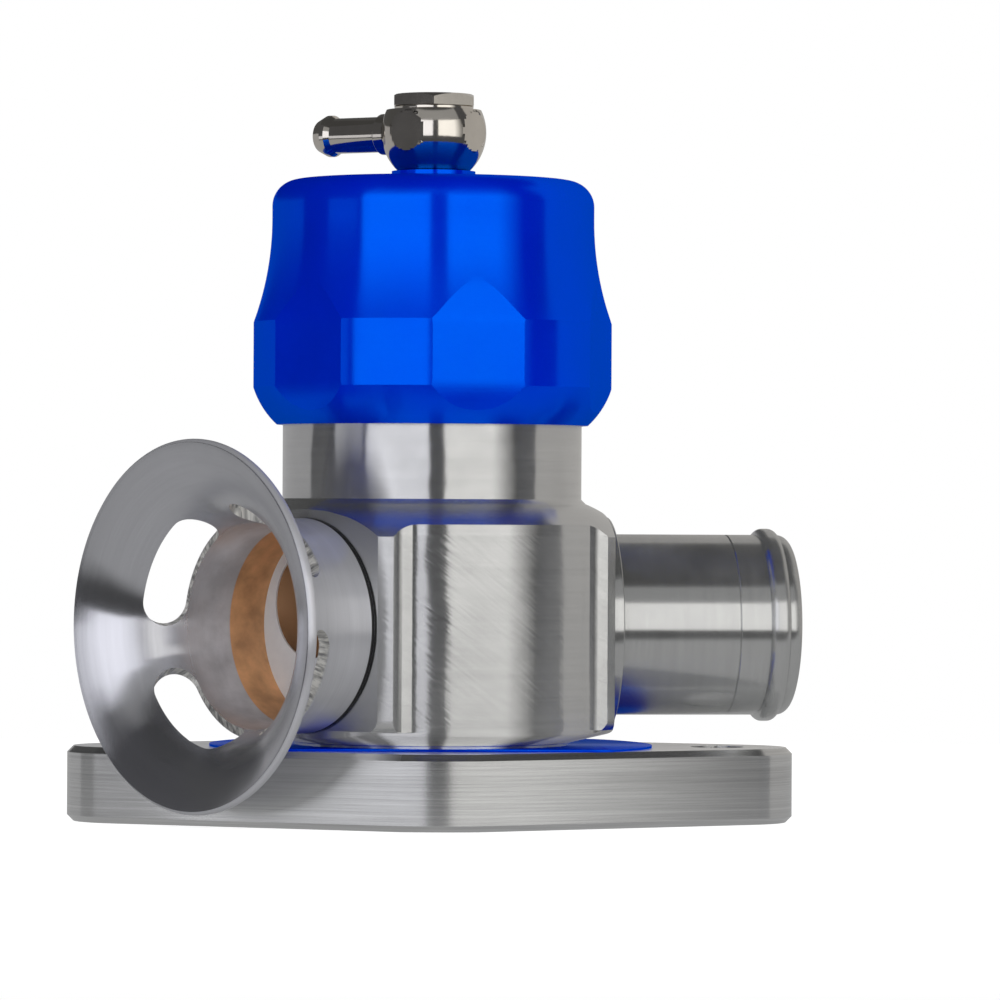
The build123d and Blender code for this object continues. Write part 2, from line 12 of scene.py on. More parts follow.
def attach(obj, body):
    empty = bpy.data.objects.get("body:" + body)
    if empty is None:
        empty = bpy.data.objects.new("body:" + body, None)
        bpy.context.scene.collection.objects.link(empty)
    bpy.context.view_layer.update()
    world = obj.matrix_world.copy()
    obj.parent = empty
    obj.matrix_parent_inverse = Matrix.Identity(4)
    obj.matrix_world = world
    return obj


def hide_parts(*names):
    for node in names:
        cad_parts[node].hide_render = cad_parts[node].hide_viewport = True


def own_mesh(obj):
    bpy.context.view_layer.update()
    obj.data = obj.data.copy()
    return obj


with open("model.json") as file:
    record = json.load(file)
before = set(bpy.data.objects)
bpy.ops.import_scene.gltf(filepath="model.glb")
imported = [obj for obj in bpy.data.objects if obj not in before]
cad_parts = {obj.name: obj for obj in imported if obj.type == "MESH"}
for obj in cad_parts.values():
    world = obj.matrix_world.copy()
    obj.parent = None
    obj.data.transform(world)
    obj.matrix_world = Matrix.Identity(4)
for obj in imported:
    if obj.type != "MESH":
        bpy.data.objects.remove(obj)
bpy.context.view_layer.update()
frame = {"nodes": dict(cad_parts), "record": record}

bl_info = {
    "name": "Blow Off Valve",
    "version": (1, 0, 0),
    "blender": (4, 5, 0),
    "location": "View3D > Sidebar > Valve",
    "description": "Models and dresses a dual-port blow off valve over its CAD frame",
    "category": "Object",
}

MM = 0.001
WHITE = (1.0, 1.0, 1.0)

# Room left round an O-ring in its groove
SEAL_GAP = 0.02 * MM


def length(description, millimetres):
    """A size that a user may change; register() makes the label of each setting from its name."""
    return FloatProperty(description=description, default=millimetres * MM, unit="LENGTH", precision=5, min=0.0)


def angle(description, degrees):
    """A direction or a turn that a user may change."""
    return FloatProperty(description=description, default=radians(degrees), subtype="ANGLE")


def colour(description, value):
    """A colour that a user may change."""
    return FloatVectorProperty(description=description, default=value, subtype="COLOR", min=0.0, max=1.0)


def amount(description, value):
    """A brightness or another plain number that a user may change."""
    return FloatProperty(description=description, default=value, min=0.0)


def number(description, value):
    """A count that a user may change."""
    return IntProperty(description=description, default=value, min=1)


# Sizes and colours


class ValveBodySizes(bpy.types.PropertyGroup):
    """The valve body, from its spigot to the top of its neck."""

    radius: length("Of the body over its two ports", 32.0)
    foot_radius: length("Of the narrow foot on the flange", 22.0)
    foot_height: length("Of the foot's underside above the flange's underside", 12.35)
    foot_gap: length("Height of the shadow gap over the shim", 0.35)
    belly_rise: length("Height of the bowl under the body", 2.4)
    belly_round: length("Radius where the bowl meets the body", 2.6)
    shoulder_height: length("Where the dome starts", 45.6)
    shoulder_rise: length("Height of the dome", 5.2)
    shoulder_bulge: length("Of the dome outside its chord", 0.5)
    neck_radius: length("Of the neck under the cap", 23.9)
    neck_top: length("Height of the neck's top", 74.0)
    port_flat: length("Distance of each port's flat from the axis", 26.7)
    relief_radius: length("Of the milled reliefs between the flats", 30.0)
    relief_corner: length("Radius at the ends of a relief", 4.5)
    relief_strip: length("Width left between a flat and a relief", 1.9)
    inlet_radius: length("Of the bore through flange and body", 16.0)
    seat_height: length("Of the piston's seat", 18.0)
    piston_bore: length("Radius of the bore that the piston slides in", 17.5)
    spigot_radius: length("Of the spigot in the flange", 20.5)
    spigot_floor: length("Height of the spigot's end", 3.3)


class PortSizes(bpy.types.PropertyGroup):
    """The two ports, with the trumpet in one and the hose tail in the other."""

    height: length("Port height, of both ports' axes", 31.5)
    vent_direction: angle("Of the trumpet, seen from above", -141.0)
    hose_direction: angle("Of the hose tail, seen from above", 6.0)
    fit: length("Port fit, clearance round each stem", 0.03)
    floor: length("Vent floor, distance of the vent's floor from the valve axis", 21.7)
    vent_stem: length("Vent stem radius, of the trumpet's stem", 16.9)
    vent_hole: length("Vent hole radius, of the hole in the vent's floor", 8.6)
    vent_hole_rise: length("Of the hole above the port's axis", 3.3)
    vent_hole_shift: length("Of the hole to the side of the port's axis", 4.3)
    trumpet_bore: length("Trumpet bore radius, of the straight part", 15.7)
    flare_start: length("Where the bore starts to open", 33.0)
    flare_back: length("Where the outside starts to open", 30.5)
    rim_radius: length("Of the trumpet's rim", 29.1)
    rim: length("Rim distance, of the rim from the valve axis", 50.3)
    rim_thick: length("Rim thickness, of the rim, along the axis", 1.7)
    rim_round: length("Radius on the rim's edges", 0.8)
    slots: number("Number of slots round the flare", 4)
    slot_distance: length("Of the slots' middle line from the valve axis", 40.6)
    slot_width: length("Across a slot", 7.4)
    slot_web: length("Metal left between two slots", 6.9)
    slot_turn: angle("Where the first slot is round the trumpet", 147.0)
    hose_floor: length("Where the hose tail's stem ends", 20.8)
    hose_stem: length("Hose stem radius, of the hose tail's stem", 15.5)
    hose_hole: length("Hose hole radius, of the hole into the piston's bore", 11.5)
    hose_radius: length("Outside the hose tail", 14.5)
    hose_bore: length("Hose bore radius, inside the hose tail", 12.6)
    collar_radius: length("Of the collar on the flat", 17.3)
    collar: length("Collar thickness, of the rim on the flat, along the axis", 1.7)
    scribe: length("Scribe distance, of the scribed line from the valve axis", 47.7)
    scribe_depth: length("Of the scribed line", 0.15)
    bead: length("Bead distance, of the bead's middle from the valve axis", 54.2)
    bead_radius: length("Over the bead", 15.5)
    bead_half: length("Bead half width, from the bead's middle to its edge", 1.6)
    bead_land: length("Width of the bead's level top", 0.8)
    hose_end: length("Distance of the tail's end from the valve axis", 57.9)
    hose_end_round: length("Radius on the tail's end", 1.8)


class FlangeSizes(bpy.types.PropertyGroup):
    """The two-bolt flange and its shim."""

    thick: length("Thickness, of the flange", 12.0)
    face: length("Face distance, of each straight side from the valve axis", 33.4)
    nose: length("Nose radius, of the rounded nose in front and behind", 35.0)
    end: length("End radius, of the two ends, about the bolts", 12.0)
    bolt_spacing: length("Between the two bolts", 92.0)
    bolt_hole: length("Bolt hole radius, of each bolt hole", 4.25)
    chamfer: length("Round the flange's edges", 1.0)
    shim_flat: length("Distance of the shim's front and back flats from the axis", 23.5)


class CapSizes(bpy.types.PropertyGroup):
    """The anodised cap."""

    foot: length("Foot height, of the skirt's lower edge", 63.3)
    mouth: length("Mouth radius, at the skirt's lower edge", 24.9)
    skirt: length("Skirt height, where the skirt reaches its full radius", 69.2)
    skirt_bulge: length("Of the skirt outside its chord", 0.45)
    radius: length("Of the cap's band", 28.65)
    waist: length("Waist height, where the flank leaves the band", 79.6)
    crown_radius: length("At the top of the flank", 25.75)
    crown: length("Crown height, at the top of the flank", 96.1)
    top: length("Top height, of the cap's flat top", 102.4)
    top_round: length("Radius round the top", 4.2)
    room_radius: length("Inside, over the neck", 21.0)
    room_round: length("Radius under the cap's top", 1.5)
    top_wall: length("Thickness of the cap's top", 5.9)
    fit: length("Clearance on the neck", 0.05)
    facets: number("Number of milled facets", 6)
    facet_distance: length("From the axis", 27.67)
    facet_low: length("Where the upright part of a facet starts", 70.2)
    facet_high: length("Where the upright part of a facet ends", 78.6)
    facet_foot_round: length("Radius between a facet's upright part and its foot", 12.0)
    facet_foot_lean: angle("Of a facet's foot towards the axis", 18.0)
    facet_head_round: length("Radius between a facet's upright part and its head", 15.4)
    facet_lean: angle("Of a facet's head towards the axis", 7.4)
    facet_turn: angle("Where the first facet is", -77.5)
    boss_radius: length("Of the boss under the banjo fitting", 6.7)
    boss_rise: length("Of the boss above the top", 1.5)


class FittingSizes(bpy.types.PropertyGroup):
    """The banjo fitting on the cap."""

    radius: length("Ball radius, of the banjo", 8.4)
    drop: length("From the ball's middle to its seat", 6.2)
    rise: length("From the ball's middle to its top", 3.6)
    spot: length("Flat spot radius, of the three flat spots", 3.2)
    bolt: length("Bolt radius, of the hollow bolt", 4.0)
    washer: length("Washer thickness, under the bolt's head", 0.6)
    washer_radius: length("Under the bolt's head", 6.3)
    head_flats: length("Head across flats, of the bolt's head", 12.7)
    head_height: length("Of the bolt's head", 1.9)
    head_turn: angle("Of the bolt's head", 27.5)
    barb_direction: angle("Of the vacuum barb, seen from above", 144.0)
    barb_radius: length("Of the barb's pipe", 2.85)
    barb_bore: length("Barb bore radius, inside the barb", 1.6)
    barb_bead: length("Barb bead radius, over the bead", 3.35)
    barb_bead_at: length("Barb bead distance, of the bead from the valve axis", 19.7)
    barb_land: length("Barb bead land, width of the bead's level top", 0.8)
    barb_ramp: length("Barb bead ramp, length of the slope up to the bead", 0.8)
    barb_root: length("Distance of the pipe's inner end from the valve axis", 6.2)
    barb_tip: length("Barb tip distance, of the barb's end from the valve axis", 22.0)
    barb_tip_radius: length("At the barb's end", 2.45)
    barb_collar: length("Barb collar radius, where the barb leaves the ball", 3.3)
    barb_collar_at: length("Barb collar distance, of the collar from the valve axis", 9.2)


class SpringSizes(bpy.types.PropertyGroup):
    """The return spring."""

    radius: length("Mean radius, of the coil", 12.0)
    wire: length("Wire radius, of the spring's wire", 1.3)
    turns: number("Number of turns", 7)
    low: length("Lower seat, height of the spring's lower seat", 23.2)
    high: length("Upper seat, height of the spring's upper seat", 81.3)


class Finishes(bpy.types.PropertyGroup):
    """The colours of the valve's metals and seals."""

    aluminium: colour("Machined aluminium of body and flange", (0.72, 0.725, 0.725))
    dark_aluminium: colour("Trumpet aluminium, aluminium of the vent trumpet", (0.66, 0.665, 0.70))
    tail_aluminium: colour("Aluminium of the hose tail", (0.62, 0.625, 0.62))
    blue: colour("Dye of the anodised cap and shim", (0.0003, 0.002, 0.95))
    gleam: colour("Blue gleam, tint of the anodised skin's gloss", (0.0, 0.2, 1.0))
    nickel: colour("Plated banjo fitting", (0.74, 0.70, 0.64))
    # The bronze also colours a bronze-toned band deep in the trumpet's bore, which is made nearly matt as
    # painted light
    bronze: colour("Piston, and the stain in the trumpet's bore", (0.72, 0.38, 0.18))
    rubber: colour("O-rings and seals", (0.012, 0.012, 0.013))
    guide: colour("Guide ring, filled plastic of the guide ring", (0.05, 0.035, 0.025))
    steel: colour("Spring steel, spring and its washers", (0.34, 0.34, 0.35))


class Studio(bpy.types.PropertyGroup):
    """Camera, lights and floor."""

    lens: amount("Focal length in millimetres", 216.0)
    camera: FloatVectorProperty(
        description="Place of the camera", default=(-0.04187, -0.95909, 0.0504), subtype="TRANSLATION"
    )
    heading: angle("Of the camera, east of the Y axis", 3.15)
    pitch: angle("Of the camera above the horizon", 0.06)
    roll: angle("Of the camera about its line of sight", 0.30)
    left_light: amount("Brightness of the left softbox", 1.3)
    right_light: amount("Brightness of the right softbox", 1.3)
    dark: amount("Brightness of the room's dark side", 0.08)
    high_glow: amount("Brightness above the softboxes", 0.32)
    ceiling: amount("Brightness of the ceiling", 0.06)
    backdrop: amount("Brightness of the backdrop in metal", 0.45)
    fill: amount("Brightness of the room on matt surfaces", 0.4)
    floor: colour("Colour of the floor", (0.6, 0.6, 0.6))
    floor_radius: length("Of the round table under the valve", 340.0)
    floor_gloss: amount("Brightness of the floor in metal", 0.38)
    floor_edge: amount("The same, in front of the valve", 0.07)
    front_power: amount("Watts of the light in front", 6.5)


class ValveSettings(bpy.types.PropertyGroup):
    """Everything that a user may change."""

    body: PointerProperty(type=ValveBodySizes)
    ports: PointerProperty(type=PortSizes)
    flange: PointerProperty(type=FlangeSizes)
    cap: PointerProperty(type=CapSizes)
    fitting: PointerProperty(type=FittingSizes)
    spring: PointerProperty(type=SpringSizes)
    finishes: PointerProperty(type=Finishes)
    studio: PointerProperty(type=Studio)


def settings():
    return bpy.context.scene.valve_settings


# Modelling helpers


def port_place(height, direction):
    """The place of a port: its Z runs outwards from the valve axis and its X downwards."""
    turn = Matrix.Rotation(direction, 4, "Z") @ Matrix.Rotation(pi / 2, 4, "Y")
    return Matrix.Translation((0, 0, height)) @ turn


def pick(obj):
    """Makes an object the active one, and the only one selected."""
    bpy.ops.object.select_all(action="DESELECT")
    obj.select_set(True)
    bpy.context.view_layer.objects.active = obj


def edit(obj):
    """Goes into edit mode on one object alone, with all of it selected."""
    pick(obj)
    bpy.ops.object.mode_set(mode="EDIT")
    bpy.ops.mesh.select_all(action="SELECT")


def leave_edit():
    bpy.ops.object.mode_set(mode="OBJECT")


def settle(obj, place=None):
    """Puts a finished shape in its place, with its object left at the origin, unturned."""
    pick(obj)
    if place is not None:
        obj.matrix_world = place
        bpy.context.view_layer.update()
    bpy.ops.object.transform_apply(location=True, rotation=True, scale=True)
    return obj


def newly_made(name):
    """The primitive that was added last, named and settled."""
    obj = bpy.context.active_object
    obj.name = name
    return settle(obj)


def smooth(obj, limit=30):
    """Smooth shading, with edges sharper than the limit left crisp."""
    pick(obj)
    bpy.ops.object.shade_smooth_by_angle(angle=radians(limit))
    return obj


def start_chain(name, first):
    """A primitive drawn together to one vertex, in edit mode, ready to be extruded along an outline."""
    bpy.ops.mesh.primitive_plane_add(size=MM, location=first)
    obj = newly_made(name)
    edit(obj)
    bpy.ops.mesh.merge(type="CENTER")
    return obj


def extrude(step):
    bpy.ops.mesh.extrude_region_move(TRANSFORM_OT_translate={"value": step})


def extrude_chain(points):
    """Extrudes the selected vertex from point to point and closes the outline."""
    ahead = list(points[1:]) + [points[0]]
    for start, end in zip(points, ahead):
        extrude(Vector(end) - Vector(start))
    bpy.ops.mesh.select_all(action="SELECT")
    bpy.ops.mesh.remove_doubles(threshold=1e-7)


def spin(steps, sweep=2 * pi):
    """Spins what is selected about the Z axis."""
    bpy.ops.mesh.spin(steps=steps, angle=sweep, center=(0, 0, 0), axis=(0, 0, 1))


def face_outwards():
    bpy.ops.mesh.select_all(action="SELECT")
    bpy.ops.mesh.remove_doubles(threshold=2e-7)
    bpy.ops.mesh.normals_make_consistent(inside=False)


def turned(name, outline, place=None, steps=160, limit=30):
    """A closed outline of (radius, height) points, spun about Z and put in its place."""
    points = [(r, 0.0, z) for r, z in outline]
    obj = start_chain(name, points[0])
    extrude_chain(points)
    spin(steps)
    face_outwards()
    leave_edit()
    return smooth(settle(obj, place), limit)


def prism(name, outline, low, high):
    """A closed flat outline of (x, y) points, filled and extruded upwards."""
    points = [(x, y, low) for x, y in outline]
    obj = start_chain(name, points[0])
    extrude_chain(points)
    bpy.ops.mesh.edge_face_add()
    extrude((0, 0, high - low))
    face_outwards()
    leave_edit()
    return settle(obj)


def rod(name, radius, low, high, place=None, sides=128):
    """A plain round cutter about Z."""
    middle = (0, 0, (low + high) / 2)
    bpy.ops.mesh.primitive_cylinder_add(vertices=sides, radius=radius, depth=high - low, location=middle)
    return settle(newly_made(name), place)


def combine(obj, tool, operation):
    """Cuts, joins or meets a piece with a tool, which is then deleted."""
    pick(obj)
    modifier = obj.modifiers.new("Shape", "BOOLEAN")
    modifier.object = tool
    modifier.operation = operation
    modifier.solver = "EXACT"
    bpy.ops.object.modifier_apply(modifier=modifier.name)
    bpy.data.objects.remove(tool)
    return obj


def cut(obj, tool):
    return combine(obj, tool, "DIFFERENCE")


def slice_off(obj, outwards, distance):
    """Cuts a piece off flat, square to a direction and at a distance from the valve axis, and closes it."""
    edit(obj)
    bpy.ops.mesh.bisect(plane_co=outwards * distance, plane_no=outwards, use_fill=True, clear_outer=True)
    leave_edit()


def bearing(direction):
    """The level direction at an angle from X, seen from above."""
    return Vector((cos(direction), sin(direction), 0))


def around_axis(count, first):
    """Evenly spaced angles, from the first one on."""
    return [first + index * 2 * pi / count for index in range(count)]


def arc(centre, radius, start, end, steps):
    """Points on an arc, its two ends among them; the angles are in radians."""
    turns = [start + (end - start) * i / steps for i in range(steps + 1)]
    return [(centre[0] + radius * cos(t), centre[1] + radius * sin(t)) for t in turns]


def rounded(corners, steps=8):
    """An outline from (x, y) or (x, y, round) corners, each round drawn as an arc."""
    points = []
    count = len(corners)
    for index, corner in enumerate(corners):
        here = Vector(corner[:2])
        if len(corner) < 3 or not corner[2]:
            points.append(tuple(here))
            continue
        back = (Vector(corners[index - 1][:2]) - here).normalized()
        ahead = (Vector(corners[(index + 1) % count][:2]) - here).normalized()
        half = back.angle(ahead) / 2
        centre = here + (back + ahead).normalized() * corner[2] / sin(half)
        reach = corner[2] / sin(half) * cos(half)
        first, last = here + back * reach - centre, here + ahead * reach - centre
        start, end = atan2(first.y, first.x), atan2(last.y, last.x)
        if end - start > pi:
            end -= 2 * pi
        if start - end > pi:
            end += 2 * pi
        points += arc(centre, corner[2], start, end, steps)
    return points


def flare_radius(rise, run):
    """The radius of an arc that starts along the axis and then goes out by a rise over a run."""
    return (rise**2 + run**2) / (2 * rise)


def tangent_flare(start, end, steps):
    """Points on the arc that leaves its start along the axis and ends at its end, as (radius, height)."""
    radius = flare_radius(end[0] - start[0], end[1] - start[1])
    sweep = asin((end[1] - start[1]) / abs(radius))
    turns = [sweep * i / steps for i in range(steps + 1)]
    return [(start[0] + radius * (1 - cos(t)), start[1] + abs(radius) * sin(t)) for t in turns]


def bulged(first, last, bulge, steps):
    """Points on the arc between two (radius, height) points that stands outside its chord by a bulge."""
    start, end = Vector(first), Vector(last)
    radius = ((end - start).length ** 2 / 4 + bulge**2) / (2 * bulge)
    inward = Vector((start.y - end.y, end.x - start.x)).normalized()
    centre = (start + end) / 2 + inward * (radius - bulge)
    turns = [atan2((point - centre).y, (point - centre).x) for point in (start, end)]
    return arc(centre, radius, *turns, steps)


def groove(radius, middle, section):
    """Outline points of an O-ring's groove in an outside wall, from below to above."""
    half, floor = section + SEAL_GAP, radius - 2 * section - SEAL_GAP
    low, high = middle - half, middle + half
    return [(radius, low), (floor, low), (floor, high), (radius, high)]


def between(first, last, steps):
    """Points on a straight line, without its ends, so that a long wall is spun in several rows."""
    ends = Vector(first), Vector(last)
    return [tuple(ends[0].lerp(ends[1], i / steps)) for i in range(1, steps)]


def dress(obj, body, slot, *nodes):
    """Gives a piece its finish, its body, its slot and the CAD nodes that it stands for."""
    obj.data.materials.clear()
    obj.data.materials.append(finish(slot))
    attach(obj, body)
    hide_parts(*nodes)
    return obj


def merged_copy(node, name, limit=30):
    """A copy of a CAD node with its loose triangles joined, for a finish that needs smooth shading."""
    obj = bpy.data.objects.new(name, frame["nodes"][node].data.copy())
    bpy.context.scene.collection.objects.link(obj)
    edit(obj)
    bpy.ops.mesh.remove_doubles(threshold=1e-6)
    leave_edit()
    return smooth(obj, limit)


# Materials


def tinted(tint, factor):
    return tuple(min(1.0, channel * factor) for channel in tint)


class Nodes:
    """A short way to write the node tree of a new material or world."""

    def __init__(self, owner):
        self.owner = owner
        owner.use_nodes = True
        self.tree = owner.node_tree
        self.shader = self.tree.nodes.get("Principled BSDF")

    def link(self, source, target):
        self.tree.links.new(source, target)

    def feed(self, target, value):
        """Gives an input its value: a constant, or the output that it is linked to."""
        if isinstance(value, bpy.types.NodeSocket):
            self.link(value, target)
        else:
            target.default_value = (*value, 1.0) if target.type == "RGBA" else value

    def add(self, kind, inputs=(), **values):
        """A node with its settings, and with its inputs by name or number."""
        node = self.tree.nodes.new(kind)
        for key, value in values.items():
            setattr(node, key, value)
        for key, value in dict(inputs).items():
            self.feed(node.inputs[key], value)
        return node

    def math(self, operation, *inputs):
        """A math node; inputs are numbers or sockets."""
        return self.add("ShaderNodeMath", enumerate(inputs), operation=operation).outputs[0]

    def vector_math(self, operation, *inputs):
        return self.add("ShaderNodeVectorMath", enumerate(inputs), operation=operation)

    def weighed(self, *terms):
        """The sum of numbers or sockets, each times its weight."""
        total, *others = [self.math("MULTIPLY", value, weight) for value, weight in terms]
        for other in others:
            total = self.math("ADD", total, other)
        return total

    def blend(self, share, first, second):
        """One number passing into another."""
        return self.weighed((self.math("SUBTRACT", 1.0, share), first), (share, second))

    def spot(self):
        """The object's own coordinates."""
        return self.add("ShaderNodeTexCoord").outputs["Object"]

    def seen_from(self, place):
        """The object's coordinates in the frame of a port or of the valve axis."""
        inverse = place.inverted()
        inputs = {"Vector": self.spot(), "Location": inverse.to_translation(), "Rotation": inverse.to_euler()}
        return self.add("ShaderNodeMapping", inputs).outputs["Vector"]

    def stretch(self, vector, scale):
        return self.add("ShaderNodeMapping", {"Vector": vector, "Scale": scale}).outputs["Vector"]

    def parts(self, vector):
        return self.add("ShaderNodeSeparateXYZ", {0: vector}).outputs

    def face_normal(self):
        """The surface's own normal, before any bump."""
        return self.add("ShaderNodeNewGeometry").outputs["Normal"]

    def noise(self, vector, scale, detail=3.0):
        inputs = {"Vector": vector, "Scale": scale, "Detail": detail, "Roughness": 0.55}
        return self.add("ShaderNodeTexNoise", inputs).outputs["Fac"]

    def spread(self, value, low, high, start=0.3, end=0.7):
        """A texture's value spread over a range."""
        inputs = {"Value": value, "From Min": start, "From Max": end, "To Min": low, "To Max": high}
        return self.add("ShaderNodeMapRange", inputs).outputs["Result"]

    def window(self, value, low, high, soft):
        """1 where a value lies between two numbers and 0 outside them, with soft edges."""
        rise = self.spread(value, 0.0, 1.0, low - soft, low + soft)
        return self.math("MULTIPLY", rise, self.spread(value, 1.0, 0.0, high - soft, high + soft))

    def mix(self, share, first, second):
        """One colour passing into another."""
        return self.add("ShaderNodeMix", {0: share, 6: first, 7: second}, data_type="RGBA").outputs[2]

    def shade(self, value, colours):
        """A texture's value as a colour, from two stops of (place, colour)."""
        node = self.add("ShaderNodeValToRGB", {"Fac": value})
        for element, (stop, tint) in zip(node.color_ramp.elements, colours):
            element.position = stop
            element.color = (*tint, 1.0)
        return node.outputs["Color"]

    def toned(self, value, tint, low, high, start=0.3, end=0.7):
        """One tint, made darker and lighter by a texture's value."""
        return self.shade(value, [(start, tinted(tint, low)), (end, tinted(tint, high))])

    def bump(self, height, strength, distance, normal=None):
        inputs = {"Height": height, "Strength": strength, "Distance": distance}
        if normal is not None:
            inputs["Normal"] = normal
        return self.add("ShaderNodeBump", inputs).outputs["Normal"]

    def rings(self, vector):
        """(distance from the local Z axis, angle, height) as a vector, for marks that a lathe leaves."""
        x, y, z = self.parts(vector)
        radius = self.math("SQRT", self.weighed((x, x), (y, y)))
        joined = self.add("ShaderNodeCombineXYZ", {0: radius, 1: self.math("ARCTAN2", y, x), 2: z})
        return joined.outputs[0], radius, z

    def unit(self, vector):
        return self.vector_math("NORMALIZE", vector).outputs[0]

    def dot(self, first, second):
        """How far one direction lies along another."""
        return self.vector_math("DOT_PRODUCT", first, second).outputs["Value"]

    def level_run(self, axis, across):
        """The unit direction square to an axis and to another direction."""
        return self.unit(self.vector_math("CROSS_PRODUCT", axis, across).outputs[0])

    def around(self, axis, centre):
        """The direction round an axis at each point, for highlights that a turned finish stretches."""
        return self.level_run(axis, self.vector_math("SUBTRACT", self.spot(), centre).outputs[0])

    def outward(self, axis, centre):
        """The unit direction away from an axis at each point."""
        return self.level_run(-Vector(axis), self.around(axis, centre))

    def turned_to(self, share, normal, direction):
        """A normal turned towards another direction by a share."""
        mix = self.add("ShaderNodeMix", {0: share, 4: normal, 5: direction}, data_type="VECTOR")
        return self.unit(mix.outputs[1])

    def grain(self, direction, stretch):
        """Tool marks run along a direction, and the highlights stretch across them."""
        self.feed(self.shader.inputs["Tangent"], direction)
        self.feed(self.shader.inputs["Anisotropic"], stretch)
        self.feed(self.shader.inputs["Anisotropic Rotation"], 0.25)

    def surface(self, tint, roughness, normal, metallic=0.0):
        """The finished material, from the colour, roughness, normal and metal share of its surface."""
        looks = {"Base Color": tint, "Roughness": roughness, "Normal": normal, "Metallic": metallic}
        for key, value in looks.items():
            self.feed(self.shader.inputs[key], value)
        return self.owner

    def rays(self):
        """1 where the camera looks straight at it, and 1 where metal reflects it."""
        path = self.add("ShaderNodeLightPath").outputs
        straight = self.math("MAXIMUM", path["Is Camera Ray"], path["Is Transmission Ray"])
        return straight, path["Is Glossy Ray"]

    def glow(self, strength, tint=WHITE):
        return self.add("ShaderNodeEmission", {"Color": tint, "Strength": strength}).outputs[0]

    def show(self, shader, output="Material Output"):
        """Makes a shader what the material or the world shows."""
        self.link(shader, self.tree.nodes[output].inputs["Surface"])


def new_finish(name):
    return Nodes(bpy.data.materials.new(name))


def turned_metal(name, tint, place, roughness=(0.2, 0.27), stretch=1.0, wave=0.0, extra=None):
    """Lathe-turned metal: fine rings about an axis, uneven gloss, highlights stretched across the rings.

    A wave makes the surface a little uneven. Extra is a function that changes the look in some places,
    and also says where the metal is matt.
    """
    nodes = new_finish(name)
    local = nodes.seen_from(place)
    lathe, radius, distance = nodes.rings(local)
    fine = nodes.noise(nodes.stretch(lathe, (1.0, 0.0004, 1.0)), 4200.0, detail=2.0)
    band = nodes.noise(nodes.stretch(lathe, (1.0, 0.0008, 1.0)), 700.0, detail=2.0)
    smear = nodes.noise(local, 110.0, detail=5.0)
    metal = nodes.toned(nodes.weighed((band, 0.5), (fine, 0.5)), tint, 0.95, 1.05)
    gloss = nodes.spread(nodes.weighed((fine, 0.3), (smear, 0.7)), *roughness)
    normal = nodes.bump(fine, 0.12, 0.02 * MM)
    if wave:
        normal = nodes.bump(nodes.noise(local, 95.0, detail=1.5), wave, 0.6 * MM, normal)
    metallic = 1.0
    if extra:
        look = SimpleNamespace(
            lathe=lathe, radius=radius, distance=distance, smear=smear, metal=metal, gloss=gloss, normal=normal
        )
        extra(nodes, look)
        metal, gloss, normal = look.metal, look.gloss, look.normal
        metallic = nodes.spread(look.matt, 1.0, 0.2, 0.0, 1.0)
    axis = place.to_3x3() @ Vector((0, 0, 1))
    nodes.grain(nodes.around(axis, place.to_translation()), stretch)
    return nodes.surface(metal, gloss, normal, metallic)


def vent_axis():
    """The middle and the outward direction of the vent."""
    place = port_place(settings().ports.height, settings().ports.vent_direction)
    return place.to_translation(), place.to_3x3() @ Vector((0, 0, 1))


def trumpet_marks(nodes, look):
    """A bronze-toned band deep in the bore, the satin throat and outside, and the slots' ridged walls. The band
    is made nearly matt so that its colour shows brighter, which is painted light.
    """
    sizes, tints = settings().ports, settings().finishes
    # Where the bronze-toned band and the satin of the throat fade out, from the valve axis
    bronze_band_end, throat_end = (28.7 * MM, 28.9 * MM), (33 * MM, 39 * MM)
    centre, axis = vent_axis()
    outward = nodes.dot(nodes.face_normal(), nodes.outward(axis, centre))
    outside = nodes.spread(outward, 0.0, 1.0, 0.2, 0.5)
    inside = nodes.math("LESS_THAN", look.radius, sizes.vent_stem - 0.6 * MM)
    # The bronze-toned band deep in the bore, darker and lighter at random; it is made nearly matt below as
    # painted light
    bronze_band = nodes.math("MULTIPLY", inside, nodes.spread(look.distance, 1.0, 0.0, *bronze_band_end))
    facing_in = nodes.spread(outward, 1.0, 0.0, -0.3, 0.0)
    throat = nodes.math("MULTIPLY", nodes.spread(look.distance, 1.0, 0.0, *throat_end), facing_in)
    wall = slot_wall_mask(nodes, look)
    ridges = nodes.noise(nodes.stretch(look.lathe, (0.0, 1.0, 50.0)), 22.0, detail=2.0)
    blotch = nodes.toned(look.smear, tints.dark_aluminium, 0.6, 1.3, 0.35, 0.65)
    bronze_band_tone = nodes.toned(look.smear, tints.bronze, 0.65, 1.4, 0.35, 0.65)
    ridged = nodes.shade(ridges, [(0.35, (0.3, 0.3, 0.3)), (0.6, (0.95, 0.94, 0.9))])
    for share, tint in ((nodes.math("MULTIPLY", throat, 0.7), blotch), (bronze_band, bronze_band_tone), (wall, ridged)):
        look.metal = nodes.mix(share, look.metal, tint)
    for share, roughness in ((nodes.math("MAXIMUM", bronze_band, throat), 0.42), (outside, 0.36), (wall, 0.5)):
        look.gloss = nodes.blend(share, look.gloss, roughness)
    look.normal = nodes.bump(nodes.math("MULTIPLY", ridges, wall), 0.5, 0.4 * MM, look.normal)
    # Painted light: the bronze-toned band is made nearly matt so that its colour shows brighter
    look.matt = bronze_band
    for share, strength in ((throat, 0.65), (outside, 0.5), (wall, 0.5)):
        look.matt = nodes.math("MAXIMUM", look.matt, nodes.math("MULTIPLY", share, strength))


